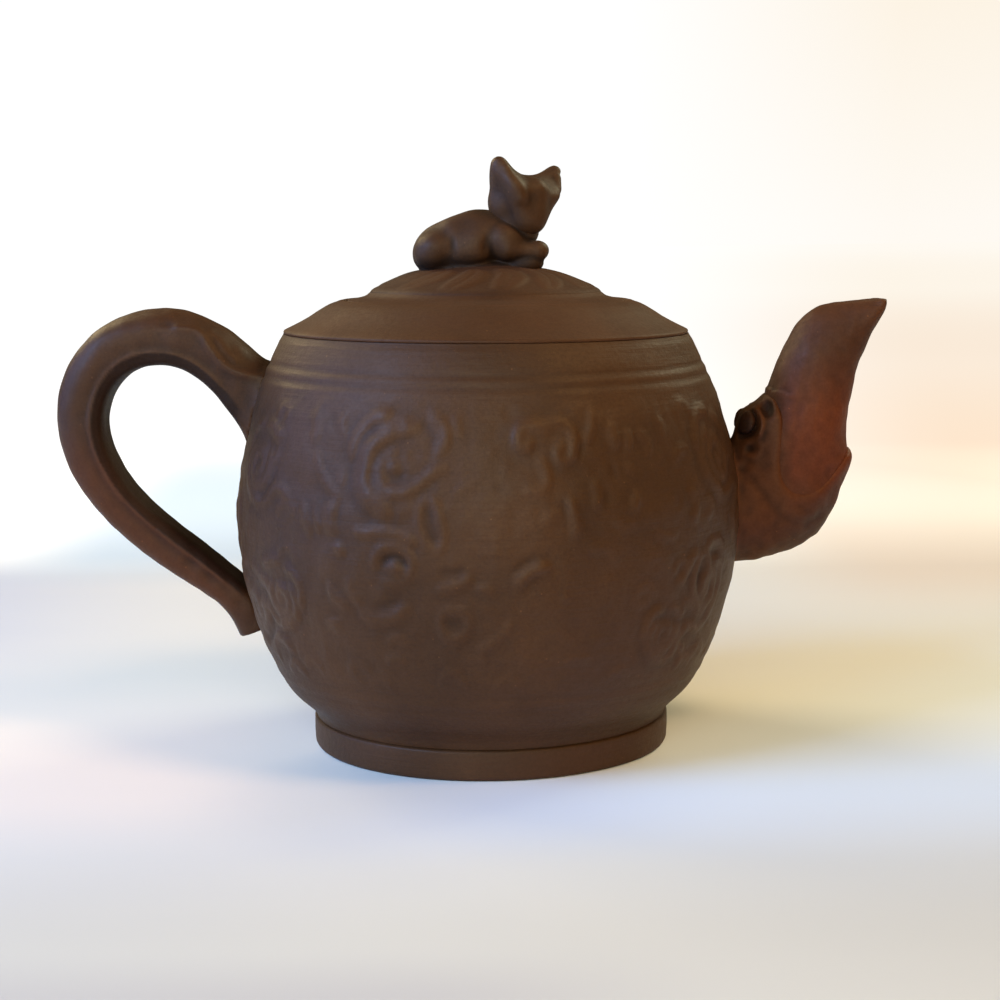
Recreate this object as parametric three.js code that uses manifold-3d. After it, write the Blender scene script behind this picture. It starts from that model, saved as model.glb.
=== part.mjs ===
// Yixing stoneware teapot, built from the slabs, rings and pressed pieces a potter lutes together.
// Millimetres, +Z up. Spout towards +X, handle towards -X. The origin is on the table under the
// middle of the spout-to-handle length, so the pot's own axis stands at x = AXIS_X.
import * as THREE from 'three';
import { mergeVertices } from 'three/addons/utils/BufferGeometryUtils.js';
import Module from 'manifold-3d';

// ---------- driving dimensions (mm) ----------
const AXIS_X = 3.6;            // pot axis from the origin
const GAP = 0.3;               // slip joint between luted pieces
const WALL = 3.6;              // belly wall thickness
const SEG = 48;                // facets round the big turned pieces
const FOOT_R = 39.3;           // foot ring outside radius
const FOOT_IN_R = 32.8;        // foot ring inside radius
const FOOT_H = 6.5;            // foot ring height
const SHOULDER_R = 44.1;       // ledge at the outer edge of the shoulder slab
const LEDGE_Z = 90.6;          // underside of the ledge
const COLLAR_R = 32.0;         // inner end of the shoulder slope
const COLLAR_Z = 97.5;         // top of the slab round the lid
const REBATE_R = 30.6;         // recess that takes the lid plate
const MOUTH_R = 27.3;          // clear mouth
const SEAT_Z = 95.8;           // seat under the lid plate
const LID_R = 30.0;            // lid plate radius
const LID_TOP_Z = 98.2;        // lid plate top
const DOME_R = 25.4;           // domed centre of the lid
const DOME_TOP_Z = 105.0;      // top of the dome
const FLANGE_R = 26.8;         // lid flange outside radius
const FLANGE_LOW_Z = 87.5;     // lower edge of the lid flange
const VENT_R = 1.3;            // air hole in the lid
const SPOUT_WALL = 2.3;

// outside of the belly, radius and height, from the foot to the ledge
const BELLY = [
  [38.9, 6.8], [39.4, 8.0], [43.2, 12.0], [47.35, 18.0], [50.35, 25.0], [52.5, 33.0], [54.1, 41.0], [54.8, 49.0],
  [54.75, 57.0], [53.35, 65.0], [51.45, 73.0], [49.1, 80.0], [46.4, 86.0], [44.2, 90.3],
];

const wasm = await Module();
wasm.setup();
const { Manifold, Mesh: RawMesh } = wasm;

// ---------- helpers ----------
function solid(geometry) {
  const g = geometry.clone();
  g.deleteAttribute('normal');
  g.deleteAttribute('uv');
  const m = mergeVertices(g, 1e-4);
  const pos = m.attributes.position.array;
  const idx = Array.from(m.index.array);
  const tris = [];
  for (let i = 0; i < idx.length; i += 3) {
    const [a, b, c] = [idx[i], idx[i + 1], idx[i + 2]];
    if (a !== b && b !== c && a !== c) tris.push(a, b, c);
  }
  let vol = 0;
  for (let i = 0; i < tris.length; i += 3) {
    const p = [0, 1, 2].map((k) => new THREE.Vector3().fromArray(pos, tris[i + k] * 3));
    vol += p[0].dot(p[1].clone().cross(p[2]));
  }
  if (vol < 0) for (let i = 0; i < tris.length; i += 3) [tris[i], tris[i + 1]] = [tris[i + 1], tris[i]];
  return new Manifold(new RawMesh({
    numProp: 3, vertProperties: new Float32Array(pos), triVerts: new Uint32Array(tris),
  }));
}

function toGeometry(manifold) {
  const mesh = manifold.getMesh();
  const g = new THREE.BufferGeometry();
  g.setAttribute('position', new THREE.BufferAttribute(new Float32Array(mesh.vertProperties), 3));
  g.setIndex(Array.from(mesh.triVerts));
  g.computeVertexNormals();
  return g;
}

// turned solid: pairs [radius, height], closed on itself
function turned(profile, segments = SEG) {
  const pts = profile.map(([r, z]) => new THREE.Vector2(r, z));
  pts.push(pts[0].clone());
  const g = new THREE.LatheGeometry(pts, segments);
  g.rotateX(Math.PI / 2);
  return solid(g);
}

// solid of revolution that starts and ends on the axis
function turnedFull(profile, segments = SEG) {
  const g = new THREE.LatheGeometry(profile.map(([r, z]) => new THREE.Vector2(r, z)), segments);
  g.rotateX(Math.PI / 2);
  return solid(g);
}

function ellipsoid(cx, cy, cz, a, b, c, rot = [0, 0, 0], grow = 0, w = 14, h = 9) {
  const g = new THREE.SphereGeometry(1, w, h);
  g.scale(a + grow, b + grow, c + grow);
  const m = new THREE.Matrix4().makeRotationFromEuler(new THREE.Euler(rot[0], rot[1], rot[2], 'XYZ'));
  m.setPosition(cx, cy, cz);
  g.applyMatrix4(m);
  return solid(g);
}

// skin through a row of closed loops, with flat ends
function loft(loops) {
  const n = loops[0].length;
  const pos = [];
  const idx = [];
  loops.forEach((l) => l.forEach((p) => pos.push(p.x, p.y, p.z)));
  for (let i = 0; i < loops.length - 1; i++) {
    for (let j = 0; j < n; j++) {
      const a = i * n + j;
      const b = i * n + ((j + 1) % n);
      idx.push(a, b, a + n, b, b + n, a + n);
    }
  }
  for (const [row, flip] of [[0, true], [loops.length - 1, false]]) {
    const c = new THREE.Vector3();
    loops[row].forEach((p) => c.add(p));
    c.multiplyScalar(1 / n);
    const k = pos.length / 3;
    pos.push(c.x, c.y, c.z);
    for (let j = 0; j < n; j++) {
      const a = row * n + j;
      const b = row * n + ((j + 1) % n);
      if (flip) idx.push(b, a, k); else idx.push(a, b, k);
    }
  }
  const g = new THREE.BufferGeometry();
  g.setAttribute('position', new THREE.Float32BufferAttribute(pos, 3));
  g.setIndex(idx);
  return solid(g);
}

// closed loop in the plane that holds the line from l to r (x, z) and the Y axis
function ring(l, r, halfWidth, shrink = 0, power = 2.2, count = 20) {
  const c = new THREE.Vector3((l[0] + r[0]) / 2, 0, (l[1] + r[1]) / 2);
  const d = new THREE.Vector3(r[0] - l[0], 0, r[1] - l[1]);
  const a = d.length() / 2 - shrink;
  d.normalize();
  const pts = [];
  for (let j = 0; j < count; j++) {
    const t = (j / count) * Math.PI * 2;
    const ct = Math.cos(t);
    const st = Math.sin(t);
    const x = Math.sign(ct) * Math.abs(ct) ** (2 / power) * a;
    const y = Math.sign(st) * Math.abs(st) ** (2 / power) * (halfWidth - shrink);
    pts.push(c.clone().addScaledVector(d, x).add(new THREE.Vector3(0, y, 0)));
  }
  return pts;
}

const clay = { color: 0x5a3d30, roughness: 0.55, metalness: 0.0 };
const potGroup = new THREE.Group();
const lidGroup = new THREE.Group();
potGroup.position.x = AXIS_X;
lidGroup.position.x = AXIS_X;
const teapot = new THREE.Group();
teapot.add(potGroup, lidGroup);

function add(group, name, manifold, look = {}) {
  const mesh = new THREE.Mesh(toGeometry(manifold), new THREE.MeshStandardMaterial({ ...clay, ...look }));
  mesh.name = name;
  group.add(mesh);
  return mesh;
}

// ---------- body ----------
const bellyOuter = (grow = 0, low = 6.8, high = 90.3) => {
  const p = BELLY.map(([r, z]) => [r + grow, z]);
  p[0][1] = low; p[p.length - 1][1] = high;
  return p;
};
// everything inside the outer surface, used to trim what is luted onto it
const bellyTrim = turnedFull([[0, 2], ...bellyOuter(GAP, 2, 92), [0, 92]]);

const spoutHolePoints = (r) => {
  const g = new THREE.CylinderGeometry(r, r, 20, 24);
  g.rotateZ(Math.PI / 2);
  g.translate(52, 0, 53);
  return solid(g);
};
const inner = BELLY.filter((_, i) => i !== 1 && i !== 5 && i !== 8).map(([r, z]) => [r - WALL, z]).reverse();
let wall = turned([...BELLY, ...inner]);
wall = wall.subtract(spoutHolePoints(8.6));
add(potGroup, 'belly_wall', wall);

add(potGroup, 'base_disc', turnedFull([[0, 6.8], [34.8, 6.8], [35.5, 8.0], [37.1, 10.2], [0, 10.2]]));
add(potGroup, 'foot_ring', turned([
  [FOOT_IN_R, 0], [FOOT_R - 0.7, 0], [FOOT_R, 0.8], [FOOT_R, FOOT_H - 0.7], [FOOT_R - 0.6, FOOT_H],
  [FOOT_IN_R, FOOT_H],
]));
add(potGroup, 'shoulder_disc', turned([
  [40.9, LEDGE_Z], [SHOULDER_R - 0.3, LEDGE_Z], [SHOULDER_R, LEDGE_Z + 0.3], [SHOULDER_R - 0.3, 91.3],
  [42.6, 91.85], [38.7, 93.9], [35.0, 96.2], [33.3, 96.95], [COLLAR_R, COLLAR_Z - 0.1], [31.2, COLLAR_Z],
  [REBATE_R, COLLAR_Z - 0.5], [REBATE_R, 93.7],
]));
add(potGroup, 'mouth_rim', turned([
  [MOUTH_R, 91.6], [REBATE_R - GAP, 91.6], [REBATE_R - GAP, SEAT_Z], [MOUTH_R, SEAT_Z],
]));

// perforated disc luted behind the spout opening
{
  const g = new THREE.CylinderGeometry(8.2, 8.2, 2.4, 24);
  g.rotateZ(Math.PI / 2);
  g.translate(52.9, 0, 53);
  let s = solid(g);
  const holes = [[0, 0]];
  for (let k = 0; k < 6; k++) holes.push([4.6 * Math.cos((k * Math.PI) / 3), 4.6 * Math.sin((k * Math.PI) / 3)]);
  for (const [y, z] of holes) {
    const h = new THREE.CylinderGeometry(1.2, 1.2, 8, 8);
    h.rotateZ(Math.PI / 2);
    h.translate(52.9, y, 53 + z);
    s = s.subtract(solid(h));
  }
  add(potGroup, 'strainer_disc', s);
}

// ---------- spout: a beast's head whose open jaws hold the pouring tube ----------
// pairs: inner-side point, outer-side point, half width across Y
const HEAD = [
  [[44, 66.2], [44, 39.0], 12.2], [[54.2, 67.0], [56.5, 39.6], 12.1], [[54.8, 69.4], [66.0, 41.4], 11.8],
  [[56.2, 72.6], [73.0, 45.8], 11.4], [[57.8, 74.1], [76.9, 52.0], 11.0], [[60.6, 75.7], [80.1, 62.0], 10.6],
];
const TUBE = [
  [[60.6, 70.5], [77.2, 63.4], 9.0], [[61.0, 74.5], [78.8, 68.4], 9.0], [[61.9, 78.2], [79.7, 73.8], 8.8],
  [[63.2, 81.8], [80.8, 79.4], 8.4], [[65.3, 86.3], [82.3, 84.4], 7.8], [[67.4, 90.3], [84.2, 89.3], 7.0],
  [[70.5, 93.9], [86.5, 93.4], 6.0], [[74.4, 95.8], [87.6, 96.9], 5.2],
];
const headLoft = (s, rows = HEAD) => loft(rows.map(([l, r, w]) => ring(l, r, w, s)));
const tubeOuter = (s) => loft(TUBE.map(([l, r, w]) => ring(l, r, w, s)));
// channel through the head, wide enough at the mouth to hold the tube
const headCore = loft([
  ...HEAD.map(([l, r, w]) => ring(l, r, w, SPOUT_WALL + 0.3)),
  ring([62.0, 80.0], [84.0, 66.0], 9.0),
]);
const tubeSocket = tubeOuter(-GAP);
let head = headLoft(0).subtract(headCore).subtract(bellyTrim).subtract(tubeSocket);
let tube = tubeOuter(0);
{
  const bore = TUBE.map(([l, r, w]) => ring(l, r, w, SPOUT_WALL - 0.2));
  const first = ring([59.6, 66.0], [75.4, 59.4], 9.0, SPOUT_WALL - 0.2);
  const last = ring([75.6, 99.4], [88.2, 100.6], 4.6, SPOUT_WALL - 0.9);
  tube = tube.subtract(loft([first, ...bore, last]));
}
const biggest = (m) => m.decompose().sort((a, b) => b.volume() - a.volume())[0];
head = biggest(head);
add(potGroup, 'spout_head', head);
add(potGroup, 'spout_tube', biggest(tube));

// lower lip that stands proud under the tube
{
  const lip = loft([
    ring([77.0, 58.5], [80.2, 60.2], 5.2, 0, 2, 16), ring([78.8, 61.6], [80.9, 62.8], 4.0, 0, 2, 16),
    ring([79.9, 64.2], [80.8, 64.6], 2.0, 0, 2, 16),
  ]);
  add(potGroup, 'spout_lower_lip', biggest(lip.subtract(headLoft(-GAP)).subtract(tubeSocket)));
}
// brow scroll, eye and cheek curl on each side
const headTrim = headLoft(-GAP);
for (const [side, s] of [['near', -1], ['far', 1]]) {
  add(potGroup, `spout_eye_${side}`, biggest(ellipsoid(60.6, s * 7.0, 73.6, 1.6, 1.7, 1.6, [0, 0, 0], 0, 10, 6)
    .subtract(headTrim).subtract(tubeSocket)));
  add(potGroup, `spout_ear_${side}`, biggest(ellipsoid(56.4, s * 6.4, 70.8, 2.6, 3.0, 2.8, [0, 0.2, 0], 0, 10, 6)
    .subtract(headTrim).subtract(bellyTrim).subtract(tubeSocket)));
  add(potGroup, `spout_curl_${side}`, biggest(ellipsoid(57.8, s * 9.2, 65.0, 2.3, 1.7, 2.4, [0, 0, 0], 0, 10, 6)
    .subtract(headTrim)));
}

// ---------- handle: ear-shaped loop and its tail on the belly ----------
// pairs: outer edge, inner edge, half width across Y
const HANDLE = [
  [[-40.0, 77.5], [-46.0, 58.5], 8.2], [[-48.6, 84.9], [-54.2, 71.2], 8.1], [[-54.2, 89.9], [-58.3, 76.5], 7.9],
  [[-59.6, 93.6], [-62.8, 81.2], 7.8], [[-65.6, 95.9], [-67.0, 83.8], 7.6], [[-71.3, 96.5], [-71.4, 84.6], 7.5],
  [[-77.2, 95.8], [-75.4, 84.0], 7.4], [[-83.4, 93.3], [-79.2, 82.0], 7.3], [[-88.6, 88.4], [-81.8, 79.0], 7.2],
  [[-92.3, 82.7], [-83.2, 75.4], 7.1], [[-94.4, 76.4], [-83.8, 71.4], 7.0], [[-94.6, 71.0], [-83.4, 67.6], 6.9],
  [[-93.1, 64.0], [-81.6, 63.0], 6.7], [[-90.4, 58.2], [-78.9, 58.2], 6.6], [[-86.6, 52.7], [-75.1, 53.8], 6.5],
  [[-81.6, 47.2], [-70.2, 49.4], 6.4], [[-75.4, 41.7], [-64.6, 44.8], 6.4], [[-68.8, 37.0], [-59.8, 40.8], 6.4],
  [[-62.4, 33.0], [-55.8, 37.3], 6.3], [[-57.2, 29.4], [-50.0, 34.5], 6.2],
];
let handle = loft(HANDLE.map(([o, i, w]) => ring(o, i, w, 0, 2.6, 20))).subtract(bellyTrim);
handle = biggest(handle);
// tail: continues down the belly and stops in a blunt end
const TAIL = [
  [[-58.6, 30.6], [-50.0, 33.5], 6.0], [[-57.6, 27.6], [-48.0, 29.0], 5.8], [[-56.2, 25.2], [-46.0, 25.8], 5.2],
  [[-55.2, 23.6], [-45.0, 23.8], 4.4],
];
const tailLoops = TAIL.map(([o, i, w]) => ring(o, i, w, 0, 2.6, 20));
const handleCut = loft([
  ring([-58.9, 31.2], [-50.0, 34.2], 9.0, 0, 4, 12), ring([-64.0, 12.0], [-40.0, 12.0], 12.0, 0, 4, 12),
]);
add(potGroup, 'handle', biggest(handle.subtract(handleCut)));
add(potGroup, 'handle_tail', biggest(loft(tailLoops).subtract(bellyTrim)));

// ---------- lid ----------
add(lidGroup, 'lid_plate', turned([
  [22.5, SEAT_Z + GAP], [LID_R, SEAT_Z + GAP], [LID_R, LID_TOP_Z - 0.9],
  [LID_R - 0.5, LID_TOP_Z - 0.6], [27.4, LID_TOP_Z - 0.1], [26.6, LID_TOP_Z], [22.5, LID_TOP_Z],
]));
const DOME = [[DOME_R, 98.5], [25.2, 99.3], [24.3, 100.1], [21.0, 101.5], [17.2, 103.0], [12.0, 104.1], [7.0, 104.7], [0, DOME_TOP_Z]];
const domeUnder = [[0, 103.0], [11.0, 102.2], [17.5, 100.6], [22.0, 98.5]];
let dome = turnedFull([...domeUnder, ...DOME]);
{
  const v = new THREE.CylinderGeometry(VENT_R, VENT_R, 12, 14);
  v.rotateX(Math.PI / 2);
  v.translate(0, 17.5, 102.5);
  dome = dome.subtract(solid(v));
}
add(lidGroup, 'lid_dome', dome);
add(lidGroup, 'lid_flange', turned([
  [FLANGE_R - 2.0, FLANGE_LOW_Z], [FLANGE_R - 0.4, FLANGE_LOW_Z], [FLANGE_R, SEAT_Z], [FLANGE_R - 2.0, SEAT_Z],
]));

// ---------- finial: a crouching beast with its head turned to the side ----------
const domeTrim = turnedFull([[0, 98], ...DOME.map(([r, z]) => [r + (r > 0 ? GAP : 0), z + GAP])]);
{
  const g = new THREE.CylinderGeometry(1, 1.03, 4.4, 24);
  g.rotateX(Math.PI / 2);
  g.scale(12.9, 7.2, 1);
  g.translate(-0.9, 0, 105.0);
  add(lidGroup, 'finial_pad', biggest(solid(g).subtract(domeTrim)));
}
const padTop = 107.2 + GAP;
const slabCut = (() => { const g = new THREE.BoxGeometry(80, 40, 20); g.translate(0, 0, padTop - 10); return solid(g); })();
// egg on the axes of the face: wide, deep and high radii, leaning sideways by tilt and turned by FACE_YAW
const FACE_YAW = -0.82;
const faced = (cx, cy, cz, deep, wide, high, tilt = 0, grow = 0, w = 14, h = 9) => {
  const g = new THREE.SphereGeometry(1, w, h);
  g.rotateX(Math.PI / 2);
  g.scale(deep + grow, wide + grow, high + grow);
  g.rotateX(tilt);
  g.rotateZ(FACE_YAW);
  g.translate(cx, cy, cz);
  return solid(g);
};
const torso = (g = 0) => ellipsoid(-3.7, 0.1, 109.7, 12.4, 7.1, 6.8, [0, -0.26, 0], g, 18, 11);
const neck = (g = 0) => ellipsoid(6.4, -0.3, 113.6, 4.7, 4.6, 4.8, [0, 0.35, 0], g, 14, 8);
const headB = (g = 0) => faced(8.8, -0.9, 119.0, 4.5, 6.2, 7.0, 0, g, 16, 10);
const haunch = (s, g = 0) => ellipsoid(-10.4, s * 4.2, 108.9, 5.3, 3.9, 4.4, [0, 0.1, 0], g, 12, 8);
const foreleg = (s, g = 0) => ellipsoid(7.6, s * 3.9, 108.9, 6.4, 2.6, 2.6, [0, 0.1, 0], g, 12, 8);
add(lidGroup, 'beast_torso', biggest(torso().subtract(slabCut)));
add(lidGroup, 'beast_neck', biggest(neck().subtract(torso(GAP)).subtract(slabCut)));
add(lidGroup, 'beast_head', biggest(headB().subtract(torso(GAP)).subtract(neck(GAP))));
for (const [side, s] of [['near', -1], ['far', 1]]) {
  add(lidGroup, `beast_haunch_${side}`, biggest(haunch(s).subtract(torso(GAP)).subtract(slabCut)));
  add(lidGroup, `beast_foreleg_${side}`, biggest(foreleg(s).subtract(torso(GAP)).subtract(neck(GAP))
    .subtract(headB(GAP)).subtract(slabCut)));
}
add(lidGroup, 'beast_ear_left', biggest(faced(4.0, -6.1, 123.8, 1.9, 2.5, 4.7, 0.42, 0, 12, 7)
  .subtract(headB(GAP)).subtract(torso(GAP)).subtract(neck(GAP))));
add(lidGroup, 'beast_ear_right', biggest(faced(13.9, 4.1, 123.8, 1.9, 2.5, 4.7, -0.42, 0, 12, 7)
  .subtract(headB(GAP))));

export default teapot;
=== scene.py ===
# Yixing stoneware teapot: the fine surface, finish, light and camera around the fixed frame.
# Shapes are worked out in millimetres about the pot's own axis and stored in metres, +Z up.
import math
import bpy
import numpy as np
from mathutils import Matrix, Vector


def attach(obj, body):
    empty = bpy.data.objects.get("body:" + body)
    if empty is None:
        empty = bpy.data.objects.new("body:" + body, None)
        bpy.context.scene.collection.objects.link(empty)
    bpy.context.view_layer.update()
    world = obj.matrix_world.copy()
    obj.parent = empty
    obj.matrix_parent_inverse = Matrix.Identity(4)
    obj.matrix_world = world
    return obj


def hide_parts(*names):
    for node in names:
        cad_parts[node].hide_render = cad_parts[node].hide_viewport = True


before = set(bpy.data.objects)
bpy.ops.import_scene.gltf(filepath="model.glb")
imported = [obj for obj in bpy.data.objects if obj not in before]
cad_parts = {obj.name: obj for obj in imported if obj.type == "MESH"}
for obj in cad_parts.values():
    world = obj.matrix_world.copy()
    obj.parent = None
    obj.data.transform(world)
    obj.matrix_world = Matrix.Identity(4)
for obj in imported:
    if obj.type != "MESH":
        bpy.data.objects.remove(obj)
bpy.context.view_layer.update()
scene = bpy.context.scene
AXIS_X = 3.6          # the pot's axis from the origin, mm
GIRTH_R = 54.0        # radius at which distances round the belly are counted, mm

# ---------------------------------------------------------------- camera
cam_data = bpy.data.cameras.new("camera")
cam = bpy.data.objects.new("camera", cam_data)
scene.collection.objects.link(cam)
cam_data.sensor_width = 36.0
cam_data.lens = 36.0 * 2004.15 / 1000.0
cam_data.clip_start = 0.01
cam.matrix_world = (Matrix.Translation(((AXIS_X + 2.615) / 1000, -0.440, 0.113885))
                    @ Matrix.Rotation(math.radians(90) - 0.1370, 4, "X") @ Matrix.Rotation(-0.0121, 4, "Z"))
scene.camera = cam
scene.view_settings.view_transform = "Standard"
scene.view_settings.look = "None"


# ---------------------------------------------------------------- numbers
def spline(points, count=None, at=None):
    """Natural cubic spline through points (first column is the parameter), sampled at `at`."""
    p = np.array(points, float)
    t, v = p[:, 0], p[:, 1:]
    n = len(t)
    h = np.diff(t)
    a = np.zeros((n, n))
    b = np.zeros((n, v.shape[1]))
    a[0, 0] = a[-1, -1] = 1
    for i in range(1, n - 1):
        a[i, i - 1], a[i, i], a[i, i + 1] = h[i - 1], 2 * (h[i - 1] + h[i]), h[i]
        b[i] = 6 * ((v[i + 1] - v[i]) / h[i] - (v[i] - v[i - 1]) / h[i - 1])
    m = np.linalg.solve(a, b)
    x = np.asarray(at, float) if at is not None else np.linspace(t[0], t[-1], count)
    k = np.clip(np.searchsorted(t, x) - 1, 0, n - 2)
    d, hk = x - t[k], h[k]
    d, hk = d[:, None], hk[:, None]
    return (v[k] + d * ((v[k + 1] - v[k]) / hk - hk * (2 * m[k] + m[k + 1]) / 6)
            + d ** 2 * m[k] / 2 + d ** 3 * (m[k + 1] - m[k]) / (6 * hk))


def curve(points, step=0.4, soft=0.0):
    """Smooth line through 2-D points, resampled every `step` mm, and evened out over `soft` mm."""
    p = np.array(points, float)
    t = np.concatenate([[0], np.cumsum(np.hypot(*np.diff(p, axis=0).T) ** 0.75)])
    fine = spline(np.column_stack([t, p]), count=max(8, 12 * len(p)))
    s = np.concatenate([[0], np.cumsum(np.hypot(*np.diff(fine, axis=0).T))])
    at = np.linspace(0, s[-1], max(2, int(s[-1] / step) + 1))
    out = np.column_stack([np.interp(at, s, fine[:, 0]), np.interp(at, s, fine[:, 1])])
    if soft:
        n = int(math.ceil(3 * soft / step))
        k = np.exp(-0.5 * (np.arange(-n, n + 1) * step / soft) ** 2)
        k /= k.sum()
        head = 2 * out[0] - out[1:n + 1][::-1]
        tail = 2 * out[-1] - out[-n - 1:-1][::-1]
        run = np.vstack([head, out, tail])
        out = np.column_stack([np.convolve(run[:, i], k, mode="valid") for i in (0, 1)])
    return out


class Waves:
    """Smooth repeatable unevenness: a sum of sine waves with wavelengths near `size` mm."""

    def __init__(self, size, seed, count=20):
        rng = np.random.default_rng(seed)
        d = rng.normal(size=(count, 3))
        d /= np.linalg.norm(d, axis=1)[:, None]
        self.k = d * (2 * np.pi / (size * rng.uniform(0.7, 1.6, count)))[:, None]
        self.phase = rng.uniform(0, 2 * np.pi, count)
        self.scale = np.sqrt(2.0 / count)

    def __call__(self, x, y, z):
        out = np.zeros(np.broadcast(x, y, z).shape)
        for k, ph in zip(self.k, self.phase):
            out += np.sin(k[0] * x + k[1] * y + k[2] * z + ph)
        return out * self.scale


def smooth_step(x, a, b):
    t = np.clip((x - a) / (b - a), 0, 1)
    return t * t * (3 - 2 * t)


def line_distance(px, pz, line):
    """Distance from 2-D points to a polyline, and the signed side of the nearest segment (left positive)."""
    best = np.full(px.shape, 1e9)
    side = np.zeros(px.shape)
    for (ax, az), (bx, bz) in zip(line[:-1], line[1:]):
        dx, dz = bx - ax, bz - az
        q = dx * dx + dz * dz + 1e-12
        t = np.clip(((px - ax) * dx + (pz - az) * dz) / q, 0, 1)
        ex, ez = px - ax - t * dx, pz - az - t * dz
        d = ex * ex + ez * ez
        near = d < best
        best = np.where(near, d, best)
        side = np.where(near, np.sign(dx * ez - dz * ex), side)
    return np.sqrt(best), side


# ---------------------------------------------------------------- meshes
LEAN = -0.0095        # the shoulder and the lid sit a little lower on the spout's side


def build_mesh(name, verts, quads, tris=None, attrs=None):
    me = bpy.data.meshes.new(name)
    verts = np.array(verts, np.float32)
    if name.startswith(("shoulder", "mouth", "lid", "knob")):
        verts[:, 2] += LEAN * verts[:, 0]
    elif name.startswith("belly"):
        verts[:, 2] += LEAN * verts[:, 0] * smooth_step(verts[:, 2], 62, 90)
    verts = verts * 0.001
    verts = verts + np.array([AXIS_X * 0.001, 0, 0], np.float32)
    loops, starts, at = [], [], 0
    for f in (quads, tris):
        if f is not None and len(f):
            f = np.asarray(f, np.int32)
            loops.append(f.ravel())
            starts.append(at + np.arange(len(f), dtype=np.int32) * f.shape[1])
            at += f.size
    loops = np.concatenate(loops)
    starts = np.concatenate(starts)
    me.vertices.add(len(verts))
    me.vertices.foreach_set("co", verts.ravel())
    me.loops.add(len(loops))
    me.loops.foreach_set("vertex_index", loops)
    me.polygons.add(len(starts))
    me.polygons.foreach_set("loop_start", starts)
    me.update(calc_edges=True)
    me.validate()
    for key, value in (attrs or {}).items():
        a = me.attributes.new(key, "FLOAT", "POINT")
        a.data.foreach_set("value", np.asarray(value, np.float32).ravel())
    return me


def piece(name, me, material, body, nodes, angle=40):
    for p in ("use_smooth",):
        me.polygons.foreach_set(p, np.ones(len(me.polygons), bool))
    if angle:
        me.set_sharp_from_angle(angle=math.radians(angle))
    o = bpy.data.objects.new(name, me)
    scene.collection.objects.link(o)
    me.materials.append(material)
    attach(o, body)
    if nodes:
        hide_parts(*nodes)
    return o


def lathe(name, profile, columns, closed=True, push=None, attr=None):
    """Skin of revolution. profile holds [r, z]; push(phi, r, z, i) gives (dr, dz) to add; attr likewise a cavity value."""
    p = np.array(profile, float)
    n = len(p)
    phi = np.arange(columns) * 2 * np.pi / columns
    R = np.repeat(p[:, 0][:, None], columns, 1)
    Z = np.repeat(p[:, 1][:, None], columns, 1)
    P = np.repeat(phi[None, :], n, 0)
    I = np.repeat(np.arange(n)[:, None], columns, 1)
    if push is not None:
        dr, dz = push(P, R, Z, I)
        R, Z = R + dr, Z + dz
    cav = attr(P, R, Z, I) if attr is not None else np.full(R.shape, 0.5)
    verts = np.stack([R * np.sin(P), -R * np.cos(P), Z], -1).reshape(-1, 3)
    idx = np.arange(n * columns).reshape(n, columns)
    nxt = np.roll(idx, -1, 1)
    quads, tris = [], []
    last = n if closed else n - 1
    for i in range(last):
        j = (i + 1) % n
        q = np.stack([idx[i], nxt[i], nxt[j], idx[j]], 1)
        ri, rj = p[i, 0], p[j, 0]
        if ri < 1e-6 and rj < 1e-6:
            continue
        if ri < 1e-6:
            tris.append(np.stack([np.full(columns, idx[i, 0]), nxt[j], idx[j]], 1))
        elif rj < 1e-6:
            tris.append(np.stack([idx[i], nxt[i], np.full(columns, idx[j, 0])], 1))
        else:
            quads.append(q)
    quads = np.concatenate(quads)
    tris = np.concatenate(tris) if tris else None
    # outward for a profile that runs anticlockwise seen in the (r, z) half plane
    area = 0.5 * np.sum(p[:, 0] * np.roll(p[:, 1], -1) - np.roll(p[:, 0], -1) * p[:, 1])
    if area < 0:
        quads = quads[:, ::-1]
        tris = tris[:, ::-1] if tris is not None else None
    me = build_mesh(name, verts, quads, tris, {"cavity": cav.reshape(-1)})
    loose_clean(me)
    return me


def loose_clean(me):
    """Removes vertices that no face uses."""
    import bmesh
    bm = bmesh.new()
    bm.from_mesh(me)
    loose = [v for v in bm.verts if not v.link_faces]
    if loose:
        bmesh.ops.delete(bm, geom=loose, context="VERTS")
        bm.to_mesh(me)
    bm.free()


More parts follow.
